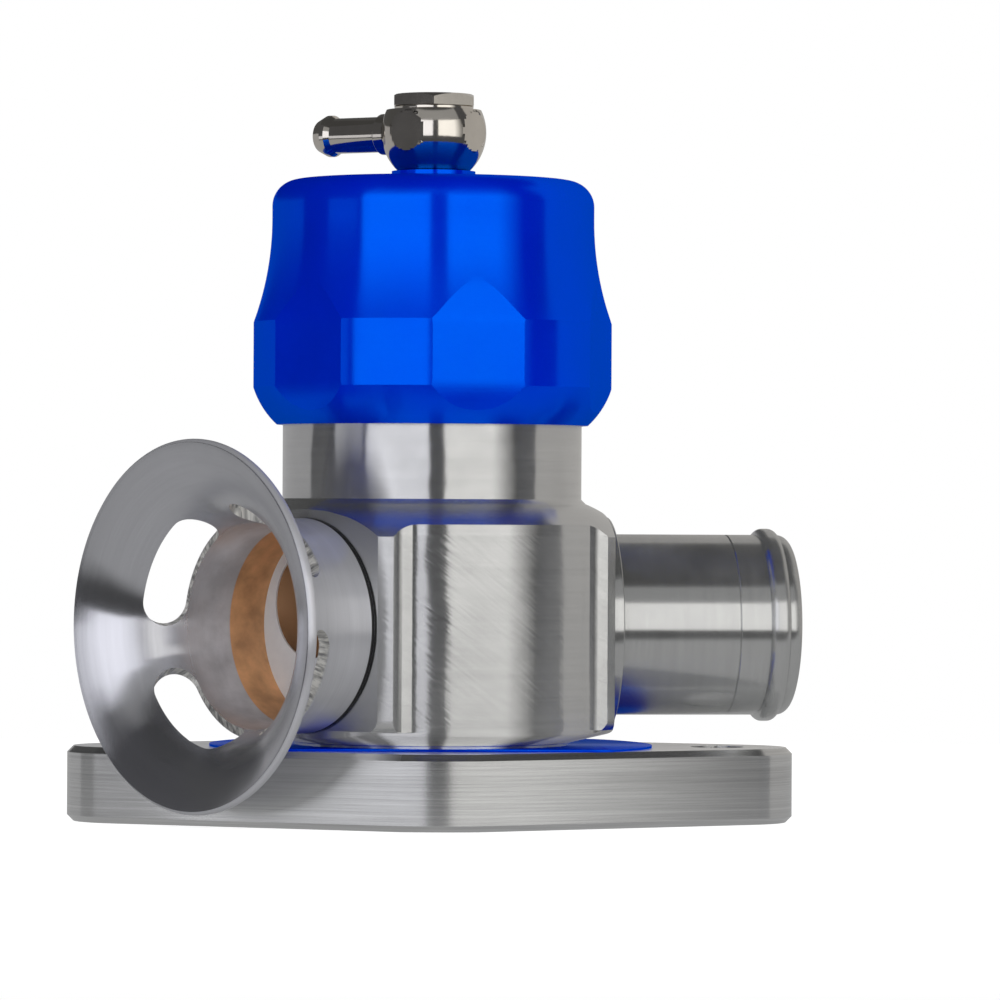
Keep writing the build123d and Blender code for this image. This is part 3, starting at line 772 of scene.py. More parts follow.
def slot_wall_mask(nodes, look):
    """1 on the walls of the slots, whose normals lie across the flare's own."""
    sizes = settings().ports
    reach_along = 4.2 * MM
    flare = flare_radius(sizes.rim_radius - sizes.trumpet_bore, sizes.rim - sizes.flare_start)
    centre, axis = vent_axis()
    along = nodes.dot(nodes.face_normal(), axis)
    outward = nodes.dot(nodes.face_normal(), nodes.outward(axis, centre))
    to_r = nodes.math("SUBTRACT", sizes.trumpet_bore + flare, look.radius)
    to_d = nodes.math("SUBTRACT", sizes.flare_start, look.distance)
    reach = nodes.math("SQRT", nodes.weighed((to_r, to_r), (to_d, to_d)))
    met = nodes.weighed((outward, to_r), (along, to_d))
    facing = nodes.math("ABSOLUTE", nodes.math("DIVIDE", met, reach))
    low, high = sizes.slot_distance - reach_along, sizes.slot_distance + reach_along
    near = nodes.window(look.distance, low, high, 0.1 * MM)
    return nodes.math("MULTIPLY", near, nodes.spread(facing, 1.0, 0.0, 0.5, 0.7))


def body_marks(nodes, look):
    """The even floor of the vent's socket, painted brighter, whiter and cooler and made nearly matt as a
    painted sheen, and faint crossing lines on the milled reliefs.

    The belly's highlights follow a normal turned outwards.
    """
    sizes = settings().ports
    # Heights between which the flats and reliefs lie, and the belly
    milled, belly = (16 * MM, 46 * MM), (12.75 * MM, 15.2 * MM)
    crossing_angle = radians(38)
    _, off, depth = nodes.rings(nodes.seen_from(port_place(sizes.height, sizes.vent_direction)))
    floor = nodes.window(depth, sizes.floor - 0.3 * MM, sizes.floor + 0.3 * MM, 0.05 * MM)
    floor = nodes.math("MULTIPLY", floor, nodes.math("LESS_THAN", off, sizes.vent_stem))
    # Painted sheen on the socket's floor: a whiter, cooler tone than the aluminium, made nearly matt below so
    # that it shows bright
    painted_floor_sheen = nodes.shade(look.smear, [(0.3, (0.72, 0.78, 0.84)), (0.7, (0.9, 0.96, 1.0))])
    look.metal = nodes.mix(floor, look.metal, painted_floor_sheen)
    mid = nodes.window(look.distance, *milled, 0.2 * MM)
    inputs = {"Vector": nodes.stretch(look.lathe, (0.0, 0.03, 1.0)), "Angle": crossing_angle}
    crossing = nodes.add("ShaderNodeVectorRotate", inputs, rotation_type="X_AXIS")
    hatch = nodes.noise(nodes.stretch(crossing.outputs[0], (0.0, 0.06, 1.0)), 1500.0, detail=1.0)
    look.gloss = nodes.blend(floor, look.gloss, 0.5)
    look.gloss = nodes.blend(nodes.math("MULTIPLY", mid, nodes.spread(hatch, 0.1, 0.4)), look.gloss, 0.3)
    normal = nodes.bump(nodes.math("MULTIPLY", hatch, mid), 0.3, 0.05 * MM, look.normal)
    away = nodes.outward((0, 0, 1), (0, 0, 0))
    look.normal = nodes.turned_to(nodes.window(look.distance, *belly, 0.1 * MM), normal, away)
    # Nearly matt on the socket's floor, so that its painted sheen shows lit
    look.matt = floor


def tail_marks(nodes, look):
    """The slightly satin skin of the hose tail."""
    look.matt = nodes.spread(look.smear, 0.04, 0.14)


def milled_metal(name, tint):
    """Milled metal: fine level tool lines, a few deeper ones, and blotchy tone. It is less metallic on top, so
    that its top faces show lighter as painted light.
    """
    nodes = new_finish(name)
    local = nodes.spot()
    lines = nodes.noise(nodes.stretch(local, (0.012, 0.012, 1.0)), 4200.0)
    coarse = nodes.noise(nodes.stretch(local, (0.006, 0.006, 1.0)), 900.0, detail=2.0)
    blotch = nodes.noise(local, 90.0, detail=5.0)
    step = nodes.window(nodes.parts(local)[2], 2.4 * MM, 2.55 * MM, 0.05 * MM)
    metal = nodes.toned(nodes.weighed((lines, 0.6), (coarse, 0.4), (step, 0.4)), tint, 0.88, 1.12, 0.35, 0.65)
    gloss = nodes.spread(nodes.weighed((lines, 0.5), (blotch, 0.5)), 0.17, 0.24)
    # Painted light: the top faces are made less metallic so that they show lighter
    metallic = nodes.spread(nodes.dot(nodes.face_normal(), (0, 0, 1)), 1.0, 0.25, 0.8, 0.95)
    nodes.grain(nodes.level_run((0, 0, 1), nodes.face_normal()), 0.8)
    normal = nodes.bump(coarse, 0.1, 0.05 * MM, nodes.bump(lines, 0.2, 0.02 * MM))
    return nodes.surface(metal, gloss, normal, metallic)


def anodised_metal(name, tint, gleam):
    """Blue anodised aluminium: a deep dye under a satin skin whose gloss is blue too, and level tool lines."""
    nodes = new_finish(name)
    lathe, *_ = nodes.rings(nodes.spot())
    lines = nodes.noise(nodes.stretch(lathe, (1.0, 0.0004, 1.0)), 4200.0)
    cloud = nodes.noise(nodes.spot(), 70.0, detail=5.0)
    gloss = nodes.spread(nodes.weighed((lines, 0.3), (cloud, 0.7)), 0.19, 0.26)
    nodes.feed(nodes.shader.inputs["IOR"], 6.5)
    nodes.feed(nodes.shader.inputs["Specular Tint"], gleam)
    nodes.grain(nodes.around((0, 0, 1), (0, 0, 0)), 0.95)
    return nodes.surface(nodes.toned(cloud, tint, 0.9, 1.06), gloss, nodes.bump(lines, 0.08, 0.02 * MM))


def nickel_plate(name, tint):
    """Polished nickel plate with a faint orange peel."""
    nodes = new_finish(name)
    peel = nodes.noise(nodes.spot(), 700.0)
    stain = nodes.noise(nodes.spot(), 160.0, detail=4.0)
    metal, gloss = nodes.toned(stain, tint, 0.9, 1.05), nodes.spread(stain, 0.06, 0.13)
    return nodes.surface(metal, gloss, nodes.bump(peel, 0.12, 0.03 * MM), 1.0)


def cast_bronze(name, tint):
    """Bronze with a fine grain and darker specks."""
    nodes = new_finish(name)
    grain = nodes.noise(nodes.spot(), 1500.0, detail=4.0)
    stain = nodes.noise(nodes.spot(), 220.0, detail=5.0)
    metal, gloss = nodes.toned(stain, tint, 0.65, 1.15, 0.25, 0.75), nodes.spread(grain, 0.4, 0.55)
    return nodes.surface(metal, gloss, nodes.bump(grain, 0.35, 0.05 * MM), 0.3)


def matt_moulding(name, tint, roughness):
    """Rubber or plastic: dark, matt and faintly grained."""
    nodes = new_finish(name)
    grain = nodes.noise(nodes.spot(), 2500.0)
    gloss = nodes.spread(grain, roughness - 0.08, roughness + 0.08)
    return nodes.surface(nodes.toned(grain, tint, 0.8, 1.3), gloss, nodes.bump(grain, 0.2, 0.03 * MM))


def finish(slot):
    """The finish of a material slot, made on its first use.

    The frame's own plain materials bear the slots' names, so a finish has another.
    """
    name = slot + "_finish"
    found = bpy.data.materials.get(name)
    if found:
        return found
    tints, ports = settings().finishes, settings().ports
    upright = Matrix.Identity(4)
    vent = port_place(ports.height, ports.vent_direction)
    hose = port_place(ports.height, ports.hose_direction)
    makers = {
        "milled_aluminium": lambda: milled_metal(name, tints.aluminium),
        "turned_aluminium": lambda: turned_metal(
            name, tints.aluminium, upright, roughness=(0.17, 0.26), wave=0.3, extra=body_marks
        ),
        "trumpet_aluminium": lambda: turned_metal(
            name, tints.dark_aluminium, vent, roughness=(0.17, 0.23), wave=0.12, extra=trumpet_marks
        ),
        "tail_aluminium": lambda: turned_metal(name, tints.tail_aluminium, hose, extra=tail_marks),
        "blue_anodised": lambda: anodised_metal(name, tints.blue, tints.gleam),
        "nickel_plate": lambda: nickel_plate(name, tints.nickel),
        "bronze": lambda: cast_bronze(name, tints.bronze),
        "seal_rubber": lambda: matt_moulding(name, tints.rubber, 0.5),
        "guide_plastic": lambda: matt_moulding(name, tints.guide, 0.45),
        "spring_steel": lambda: turned_metal(name, tints.steel, upright, roughness=(0.28, 0.4), stretch=0.0),
    }
    return makers[slot]()


# Pieces

# The flange: the clearance and the floor of its socket, and the seal groove under it (inner, outer, depth)
SPIGOT_FIT = 0.05 * MM
SOCKET_FLOOR = 3 * MM
SEAL_GROOVE = (25.78 * MM, 28.22 * MM, 2.44 * MM)

# The body: the heights of its two O-rings and half their section, the round where the neck starts, and
# how far from the valve axis the port holes start, well inside the piston's bore
SPIGOT_SEAL = 7.5 * MM
NECK_SEAL = 68.5 * MM
BODY_SEAL_R = 1 * MM
NECK_FOOT_ROUND = 0.7 * MM
DEEP_IN_BORE = 5 * MM


def flange_corners(sizes):
    """The flange's outline: four straight faces, round ends about the bolts and a round nose each way."""
    reach = sizes.bolt_spacing / 2
    start = pi / 2 - asin((sizes.face - sizes.end) / reach)
    edge = pi / 2 - asin(min(1.0, sizes.face / sizes.nose))
    side = arc((reach, 0), sizes.end, -start, start, 21)
    low, high = start + edge, pi - start - edge
    if high > low:
        side += arc((0, 0), sizes.nose, low, high, 14)
    return side + [(-x, -y) for x, y in side]


def flange_piece():
    sizes, body = settings().flange, settings().body
    past = sizes.thick + MM
    plate = prism("flange_plate", flange_corners(sizes), 0, sizes.thick)
    chamfer_rim(plate, sizes.chamfer, 0, sizes.thick)
    for side in (1, -1):
        place = Matrix.Translation((side * sizes.bolt_spacing / 2, 0, 0))
        cut(plate, rod("bolt_cutter", sizes.bolt_hole, -MM, past, place, sides=64))
    cut(plate, rod("inlet_cutter", body.inlet_radius, -MM, past))
    cut(plate, rod("socket_cutter", body.spigot_radius + SPIGOT_FIT, SOCKET_FLOOR, past))
    inner, outer, top = SEAL_GROOVE
    return cut(plate, turned("seal_groove", [(inner, -MM), (outer, -MM), (outer, top), (inner, top)]))


def chamfer_rim(obj, width, low, high):
    """Chamfers a plate's edges at two heights."""
    edit(obj)
    bpy.ops.mesh.select_mode(type="EDGE")
    bpy.ops.mesh.select_all(action="DESELECT")
    mesh = bmesh.from_edit_mesh(obj.data)
    for edge in mesh.edges:
        ends = [vertex.co for vertex in edge.verts]
        edge.select = any(all(abs(co.z - level) < 1e-6 for co in ends) for level in (low, high))
    bmesh.update_edit_mesh(obj.data)
    bpy.ops.mesh.bevel(offset=width, segments=1, affect="EDGES")
    bpy.ops.mesh.select_mode(type="VERT")
    leave_edit()


def relief_outline(sizes, start, end):
    """The plan of one relief's cutter, with its two inner corners rounded."""
    outer = sizes.radius * 1.2
    corner = sizes.relief_corner
    middle_r = sizes.relief_radius + corner
    swing = asin(corner / middle_r)
    steps = max(8, int((end - start) / radians(2.5)))
    points = arc((0, 0), outer, end, start, steps)
    first = (middle_r * cos(start + swing), middle_r * sin(start + swing))
    last = (middle_r * cos(end - swing), middle_r * sin(end - swing))
    points += arc(first, corner, start - pi / 2, start - pi + swing, 8)
    points += arc((0, 0), sizes.relief_radius, start + swing, end - swing, steps)[1:-1]
    points += arc(last, corner, end + pi - swing, end + pi / 2, 8)
    return points


def body_outline(sizes):
    """The turned outline of the body, bores included."""
    belly = sizes.foot_height + sizes.foot_gap
    top = sizes.shoulder_height + sizes.shoulder_rise
    low = rounded(
        [
            (sizes.inlet_radius, sizes.spigot_floor),
            (sizes.spigot_radius, sizes.spigot_floor),
            *groove(sizes.spigot_radius, SPIGOT_SEAL, BODY_SEAL_R),
            (sizes.spigot_radius, sizes.foot_height),
            (sizes.foot_radius, sizes.foot_height),
            (sizes.foot_radius, belly),
            (sizes.radius, belly + sizes.belly_rise, sizes.belly_round),
            (sizes.radius, sizes.shoulder_height),
        ],
        12,
    )[:-1]
    neck_foot = (sizes.neck_radius + NECK_FOOT_ROUND, top)
    dome = bulged((sizes.radius, sizes.shoulder_height), neck_foot, sizes.shoulder_bulge, 14)
    high = rounded(
        [
            (sizes.neck_radius, top + NECK_FOOT_ROUND),
            *groove(sizes.neck_radius, NECK_SEAL, BODY_SEAL_R),
            (sizes.neck_radius, sizes.neck_top),
            (sizes.piston_bore + MM, sizes.neck_top),
            (sizes.piston_bore, sizes.neck_top - MM),
            (sizes.piston_bore, sizes.seat_height),
            (sizes.inlet_radius, sizes.seat_height),
        ]
    )
    return low + dome + high


def valve_body_piece():
    sizes, ports = settings().body, settings().ports
    body = turned("valve_body_shell", body_outline(sizes), steps=192)
    flat_edge = asin(sqrt(sizes.radius**2 - sizes.port_flat**2) / sizes.radius)
    margin = flat_edge + sizes.relief_strip / sizes.radius
    vent, hose = ports.vent_direction, ports.hose_direction
    high = sizes.shoulder_height + sizes.shoulder_rise
    for start, end in ((vent + margin, hose - margin), (hose + margin, vent + 2 * pi - margin)):
        cut(body, prism("relief_cutter", relief_outline(sizes, start, end), 0, high))
    for direction in (vent, hose):
        slice_off(body, bearing(direction), sizes.port_flat)
    vent_place, hose_place = port_place(ports.height, vent), port_place(ports.height, hose)
    cut(body, rod("vent_socket", ports.vent_stem + ports.fit, ports.floor, sizes.radius, vent_place))
    hole = Matrix.Translation((-ports.vent_hole_rise, -ports.vent_hole_shift, 0))
    cut(body, rod("vent_hole", ports.vent_hole, DEEP_IN_BORE, sizes.radius, vent_place @ hole))
    cut(body, rod("hose_socket", ports.hose_stem + ports.fit, ports.hose_floor, sizes.radius, hose_place))
    cut(body, rod("hose_hole", ports.hose_hole, DEEP_IN_BORE, sizes.radius, hose_place))
    return smooth(body)


def trumpet_outline(sizes):
    start, back = sizes.trumpet_bore, sizes.vent_stem
    lip = sizes.rim - sizes.rim_thick
    inner = tangent_flare((start, sizes.flare_start), (sizes.rim_radius, sizes.rim), 40)
    outer = tangent_flare((back, sizes.flare_back), (sizes.rim_radius, lip), 40)
    edge = rounded([inner[-2], (*inner[-1], sizes.rim_round), (*outer[-1], sizes.rim_round), outer[-2]], 6)
    seal = groove(back, settings().body.port_flat + 0.27 * MM, 0.25 * MM)
    stem = [(back, sizes.flare_back), *reversed(seal), (back, sizes.floor), (start, sizes.floor)]
    bore = between((start, sizes.floor), (start, sizes.flare_start), 8)
    return inner[:-2] + edge + outer[-3:0:-1] + stem + bore


def slot_cutters(sizes, turn):
    """One slot's cutters: a band that follows the flare round, square to its wall, and two round ends."""
    radius = flare_radius(sizes.rim_radius - sizes.trumpet_bore, sizes.rim - sizes.flare_start)
    slope = asin((sizes.slot_distance - sizes.flare_start) / radius)
    middle = Vector((sizes.trumpet_bore + radius * (1 - cos(slope)), 0, sizes.slot_distance))
    along = Vector((sin(slope), 0, cos(slope)))
    outward = Vector((cos(slope), 0, -sin(slope)))
    reach = 6 * MM
    half = sizes.slot_width / 2
    sweep = 2 * pi / sizes.slots - (sizes.slot_web + sizes.slot_width) / middle.x
    corners = [
        middle + along * half * a + outward * reach * b for a, b in ((1, 1), (-1, 1), (-1, -1), (1, -1))
    ]
    band = start_chain("slot_band", corners[0])
    extrude_chain(corners)
    bpy.ops.mesh.edge_face_add()
    spin(24, sweep)
    face_outwards()
    leave_edit()
    spun_backwards = min(vertex.co.y for vertex in band.data.vertices) < -MM
    first = turn + sweep / 2 if spun_backwards else turn - sweep / 2
    pieces = [settle(band, Matrix.Rotation(first, 4, "Z"))]
    axes = Matrix((along, outward.cross(along), outward)).transposed().to_4x4()
    for at in (turn - sweep / 2, turn + sweep / 2):
        end = rod("slot_end", half, -reach, reach, sides=64)
        pieces.append(settle(end, Matrix.Rotation(at, 4, "Z") @ Matrix.Translation(middle) @ axes))
    return pieces


def trumpet_piece():
    sizes = settings().ports
    trumpet = turned("trumpet_flare", trumpet_outline(sizes), steps=192)
    for turn in around_axis(sizes.slots, sizes.slot_turn):
        for tool in slot_cutters(sizes, turn):
            cut(trumpet, tool)
    return smooth(settle(trumpet, port_place(sizes.height, sizes.vent_direction)))


def vent_seal_piece():
    """The O-ring under the trumpet, squeezed flat in its groove."""
    sizes, low = settings().ports, settings().body.port_flat + 0.03 * MM
    outer, inner, high = sizes.vent_stem + 0.02 * MM, sizes.vent_stem - 0.45 * MM, low + 0.48 * MM
    corners = [(inner, low, 0.1 * MM), (outer, low, 0.2 * MM), (outer, high, 0.2 * MM), (inner, high, 0.1 * MM)]
    return turned("vent_seal", rounded(corners, 4), port_place(sizes.height, sizes.vent_direction), steps=128)


def hose_tail_piece():
    sizes = settings().ports
    low, high = sizes.bead - sizes.bead_half, sizes.bead + sizes.bead_half
    back = tangent_flare((sizes.bead_radius, sizes.bead + sizes.bead_land / 2), (sizes.hose_radius, high), 10)
    front = [(r, 2 * sizes.bead - z) for r, z in reversed(back)]
    face = settings().body.port_flat
    points = rounded(
        [
            (sizes.hose_bore, sizes.hose_floor),
            (sizes.hose_stem, sizes.hose_floor),
            *groove(sizes.hose_stem, (sizes.hose_floor + face) / 2, 0.6 * MM),
            (sizes.hose_stem, face),
            (sizes.collar_radius, face),
            (sizes.collar_radius, face + sizes.collar, 0.25 * MM),
            (sizes.hose_radius, face + sizes.collar),
            (sizes.hose_radius, sizes.scribe - sizes.scribe_depth),
            (sizes.hose_radius - sizes.scribe_depth, sizes.scribe),
            (sizes.hose_radius, sizes.scribe + sizes.scribe_depth),
            (sizes.hose_radius, low),
        ],
        4,
    )[:-1]
    points += front + back
    points += rounded(
        [
            (sizes.hose_radius, high),
            (sizes.hose_radius, sizes.hose_end, sizes.hose_end_round),
            (sizes.hose_bore, sizes.hose_end),
        ]
    )[1:]
    return turned("hose_tail_pipe", points, port_place(sizes.height, sizes.hose_direction), steps=160)


def cap_outline(sizes, neck_radius, neck_top):
    skirt = [(neck_radius + sizes.fit, sizes.foot)]
    skirt += bulged((sizes.mouth, sizes.foot), (sizes.radius, sizes.skirt), sizes.skirt_bulge, 16)
    flank = tangent_flare((sizes.crown_radius, sizes.crown), (sizes.radius, sizes.waist), 24)[::-1]
    bolt, seat = settings().fitting.bolt, sizes.top + sizes.boss_rise
    hole, seal, half = bolt + 0.03 * MM, (bolt + sizes.boss_radius) / 2, 0.5 * MM + SEAL_GAP
    top = rounded(
        [
            flank[-1],
            (sizes.crown_radius, sizes.top, sizes.top_round),
            (sizes.boss_radius, sizes.top),
            (sizes.boss_radius, seat),
            (seal + half, seat),
            (seal + half, seat - 2 * half),
            (seal - half, seat - 2 * half),
            (seal - half, seat),
            (hole, seat),
            (hole, sizes.top - sizes.top_wall),
            (sizes.room_radius, sizes.top - sizes.top_wall, sizes.room_round),
            (sizes.room_radius, neck_top + sizes.fit),
            (neck_radius + sizes.fit, neck_top + sizes.fit),
        ],
        24,
    )[1:]
    return skirt + flank + top


def facet_cutter(sizes, turn):
    """The tool of one facet: upright along the band, and leaning in at its foot and its head."""
    deep, reach = sizes.radius, 8.1 * MM
    foot, head = sizes.facet_foot_round, sizes.facet_head_round
    side = arc((sizes.facet_distance - foot, sizes.facet_low), foot, -sizes.facet_foot_lean, 0, 8)
    inner, low = side[0]
    side.insert(0, (inner - reach * tan(sizes.facet_foot_lean), low - reach))
    side += arc((sizes.facet_distance - head, sizes.facet_high), head, 0, sizes.facet_lean, 8)
    inner, high = side[-1]
    side.append((inner - reach * tan(sizes.facet_lean), high + reach))
    back = sizes.facet_distance + deep
    outline = [(back, side[0][1]), *side, (back, side[-1][1])]
    tool = prism("facet_cutter", outline, -deep / 2, deep / 2)
    upright = Matrix.Rotation(pi / 2, 4, "X")
    return settle(tool, Matrix.Rotation(turn, 4, "Z") @ upright)


def cap_piece():
    sizes, body = settings().cap, settings().body
    cap = turned("cap_shell", cap_outline(sizes, body.neck_radius, body.neck_top), steps=192)
    for turn in around_axis(sizes.facets, sizes.facet_turn):
        cut(cap, facet_cutter(sizes, turn))
    return smooth(cap, 6)


def banjo_place():
    cap, sizes = settings().cap, settings().fitting
    return cap.top + cap.boss_rise + sizes.drop


def banjo_piece():
    sizes = settings().fitting
    centre = banjo_place()
    swing_low, swing_high = -asin(sizes.drop / sizes.radius), asin(sizes.rise / sizes.radius)
    ball = arc((0, centre), sizes.radius, swing_low, swing_high, 40)
    bore = sizes.bolt + 0.5 * MM
    outline = [(bore, centre - sizes.drop)] + ball + [(bore, centre + sizes.rise)]
    eye = turned("banjo_ball", outline, steps=128)
    spot = sqrt(sizes.radius**2 - sizes.spot**2)
    for turn in (pi / 2, pi, 3 * pi / 2):
        slice_off(eye, bearing(sizes.barb_direction + turn), spot)
    way = port_place(centre, sizes.barb_direction)
    cut(eye, rod("barb_socket", sizes.barb_radius + 0.03 * MM, sizes.barb_root, sizes.radius, way, sides=96))
    return smooth(eye, 5)


def barb_piece():
    sizes = settings().fitting
    wall = sqrt(sizes.radius**2 - sizes.barb_radius**2) + 0.1 * MM
    collar = sizes.barb_collar_at + 0.6 * MM
    bead, tip, half = sizes.barb_bead_at, sizes.barb_tip, sizes.barb_land / 2
    points = rounded(
        [
            (sizes.barb_bore, sizes.barb_root),
            (sizes.barb_radius, sizes.barb_root),
            (sizes.barb_radius, wall),
            (sizes.barb_collar, wall),
            (sizes.barb_collar, collar, 0.15 * MM),
            (sizes.barb_radius, collar, 0.3 * MM),
            (sizes.barb_radius, bead - half - sizes.barb_ramp, 0.3 * MM),
            (sizes.barb_bead, bead - half, 0.15 * MM),
            (sizes.barb_bead, bead + half, 0.15 * MM),
            (sizes.barb_tip_radius, tip, 0.6 * MM),
            (sizes.barb_bore, tip),
        ],
        6,
    )
    return turned("vacuum_pipe", points, port_place(banjo_place(), sizes.barb_direction), steps=96)


def bolt_shank():
    """The hollow shank, necked where the air passes and cross-drilled at the barb's height."""
    sizes, cap = settings().fitting, settings().cap
    centre, low = banjo_place(), cap.top - cap.top_wall + 0.5 * MM
    bore, neck, half = 1.7 * MM, sizes.bolt - 0.9 * MM, 2 * MM
    outline = [
        (bore, low),
        (sizes.bolt, low),
        (sizes.bolt, centre - half),
        (neck, centre - half),
        (neck, centre + half),
        (sizes.bolt, centre + half),
        (sizes.bolt, centre + sizes.rise + sizes.washer + 0.2 * MM),
        (0, centre + sizes.rise + sizes.washer + 0.2 * MM),
        (0, centre + half),
        (bore, centre + half),
    ]
    shank = turned("bolt_shank", outline, steps=64)
    way = port_place(centre, sizes.barb_direction)
    return cut(shank, rod("cross_drill", 1.2 * MM, -sizes.bolt, sizes.bolt, way, sides=32))


def bolt_piece():
    """The hexagon head, with its upper corners turned off at an angle, on the hollow shank."""
    sizes = settings().fitting
    low = banjo_place() + sizes.rise + sizes.washer
    corner = sizes.head_flats / 2 / cos(pi / 6)
    hexagon = [(corner * cos(turn), corner * sin(turn)) for turn in around_axis(6, sizes.head_turn)]
    head = prism("bolt_head", hexagon, low, low + sizes.head_height)
    top, top_r = low + sizes.head_height, sizes.head_flats / 2 - 0.2 * MM
    foot_r = top_r + sizes.head_height / tan(pi / 6)
    cone = turned(
        "head_cone", [(0, low - MM), (foot_r, low - MM), (foot_r, low), (top_r, top), (0, top)], steps=96
    )
    combine(head, cone, "INTERSECT")
    return smooth(combine(head, bolt_shank(), "UNION"))


def washer_piece():
    sizes = settings().fitting
    low = banjo_place() + sizes.rise
    points = rounded(
        [
            (sizes.bolt + 0.2 * MM, low),
            (sizes.washer_radius, low, 0.15 * MM),
            (sizes.washer_radius, low + sizes.washer, 0.15 * MM),
            (sizes.bolt + 0.2 * MM, low + sizes.washer),
        ],
        4,
    )
    return turned("banjo_washer_ring", points, steps=96)


def spring_piece():
    """Round wire in a coil between its two seats."""
    sizes = settings().spring
    low, high = sizes.low + sizes.wire, sizes.high - sizes.wire
    bpy.ops.mesh.primitive_circle_add(
        vertices=16, radius=sizes.wire, location=(sizes.radius, 0, low), rotation=(pi / 2, 0, 0)
    )
    coil = newly_made("spring_coil")
    screw = coil.modifiers.new("Coil", "SCREW")
    screw.axis = "Z"
    screw.angle = 2 * pi
    screw.iterations = sizes.turns
    screw.screw_offset = (high - low) / sizes.turns
    screw.steps = screw.render_steps = 48
    bpy.ops.object.modifier_apply(modifier=screw.name)
    edit(coil)
    bpy.ops.mesh.select_all(action="DESELECT")
    bpy.ops.mesh.select_non_manifold(extend=False)
    bpy.ops.mesh.edge_face_add()
    face_outwards()
    leave_edit()
    return smooth(coil)


# Operators


class VALVE_OT_flange(bpy.types.Operator):
    """Model the flange plate and dress its shim"""

    bl_idname = "valve.flange"
    bl_label = "Flange"

    def execute(self, context):
        dress(smooth(flange_piece(), 25), "housing", "milled_aluminium", "mounting_flange")
        shim = merged_copy("seat_shim", "shim_disc")
        for side in (1, -1):
            slice_off(shim, Vector((0, side, 0)), settings().flange.shim_flat)
        dress(shim, "housing", "blue_anodised", "seat_shim")
        return {"FINISHED"}


class VALVE_OT_body(bpy.types.Operator):
    """Model the valve body"""

    bl_idname = "valve.body"
    bl_label = "Valve body"

    def execute(self, context):
        dress(valve_body_piece(), "housing", "turned_aluminium", "valve_body")
        return {"FINISHED"}


class VALVE_OT_trumpet(bpy.types.Operator):
    """Model the slotted vent trumpet"""

    bl_idname = "valve.trumpet"
    bl_label = "Vent trumpet"

    def execute(self, context):
        dress(trumpet_piece(), "housing", "trumpet_aluminium", "vent_trumpet")
        dress(vent_seal_piece(), "housing", "seal_rubber", "vent_o_ring")
        return {"FINISHED"}


class VALVE_OT_hose_tail(bpy.types.Operator):
    """Model the hose tail"""

    bl_idname = "valve.hose_tail"
    bl_label = "Hose tail"

    def execute(self, context):
        dress(hose_tail_piece(), "housing", "tail_aluminium", "hose_tail")
        return {"FINISHED"}


class VALVE_OT_cap(bpy.types.Operator):
    """Model the anodised cap and its facets"""

    bl_idname = "valve.cap"
    bl_label = "Cap"

    def execute(self, context):
        dress(cap_piece(), "housing", "blue_anodised", "cap")
        return {"FINISHED"}


class VALVE_OT_fitting(bpy.types.Operator):
    """Model the banjo fitting with its barb, washer and bolt"""

    bl_idname = "valve.fitting"
    bl_label = "Banjo fitting"

    def execute(self, context):
        dress(banjo_piece(), "housing", "nickel_plate", "banjo_eye")
        dress(barb_piece(), "housing", "nickel_plate", "vacuum_barb")
        dress(washer_piece(), "housing", "nickel_plate", "banjo_washer")
        dress(bolt_piece(), "housing", "nickel_plate", "banjo_bolt")
        return {"FINISHED"}


class VALVE_OT_spring(bpy.types.Operator):
    """Model the return spring as a coil"""

    bl_idname = "valve.spring"
    bl_label = "Return spring"

    def execute(self, context):
        coil = dress(spring_piece(), "housing", "spring_steel", "return_spring")
        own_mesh(coil)
        return {"FINISHED"}


class VALVE_OT_inner_parts(bpy.types.Operator):
    """Dress the piston, its seals, the washers and every O-ring"""

    bl_idname = "valve.inner_parts"
    bl_label = "Inner parts"

    def execute(self, context):
        slots = {part["node"]: part["material_slot"] for part in frame["record"]["subparts"]}
        shown = {node: obj for node, obj in frame["nodes"].items() if not obj.hide_render}
        for node, obj in shown.items():
            obj.data.materials.clear()
            obj.data.materials.append(finish(slots[node]))
        return {"FINISHED"}


class VALVE_OT_stage(bpy.types.Operator):
    """Set up the floor, the softboxes, the dark room and the camera"""

    bl_idname = "valve.stage"
    bl_label = "Stage"

    def execute(self, context):
        build_floor()
        build_world()
        build_room()
        build_camera()
        return {"FINISHED"}


# Stage


def disc(name, radius, height, sides):
    """A flat round sheet about the valve axis."""
    bpy.ops.mesh.primitive_circle_add(vertices=sides, radius=radius, fill_type="NGON", location=(0, 0, height))
    return newly_made(name)


def build_floor():
    """A pale table, which the metal sees darker in front of the valve."""
    studio = settings().studio
    below, edge_starts, edge_ends = -0.05 * MM, -85 * MM, -115 * MM
    floor = disc("studio_floor", studio.floor_radius, below, 96)
    nodes = new_finish("pale_floor")
    nodes.feed(nodes.shader.inputs["Base Color"], studio.floor)
    nodes.feed(nodes.shader.inputs["Roughness"], 0.9)
    straight, mirrored = nodes.rays()
    lit = nodes.glow(nodes.math("MULTIPLY", straight, 0.85))
    seen = nodes.add("ShaderNodeAddShader", {0: nodes.shader.outputs[0], 1: lit})
    depth = nodes.parts(nodes.spot())[1]
    reflected = nodes.glow(nodes.spread(depth, studio.floor_gloss, studio.floor_edge, edge_starts, edge_ends))
    both = nodes.add("ShaderNodeMixShader", {0: mirrored, 1: seen.outputs[0], 2: reflected})
    nodes.show(both.outputs[0])
    floor.data.materials.append(nodes.owner)


def build_world():
    """A white room, whose light on matt surfaces is dimmer."""
    nodes = Nodes(bpy.data.worlds.new("studio_room"))
    bpy.context.scene.world = nodes.owner
    straight, mirrored = nodes.rays()
    seen = nodes.math("MAXIMUM", straight, mirrored)
    fill, white = [
        nodes.add("ShaderNodeBackground", {"Color": WHITE, "Strength": strength}).outputs[0]
        for strength in (settings().studio.fill, 1.0)
    ]
    both = nodes.add("ShaderNodeMixShader", {0: seen, 1: fill, 2: white})
    nodes.show(both.outputs[0], "World Output")


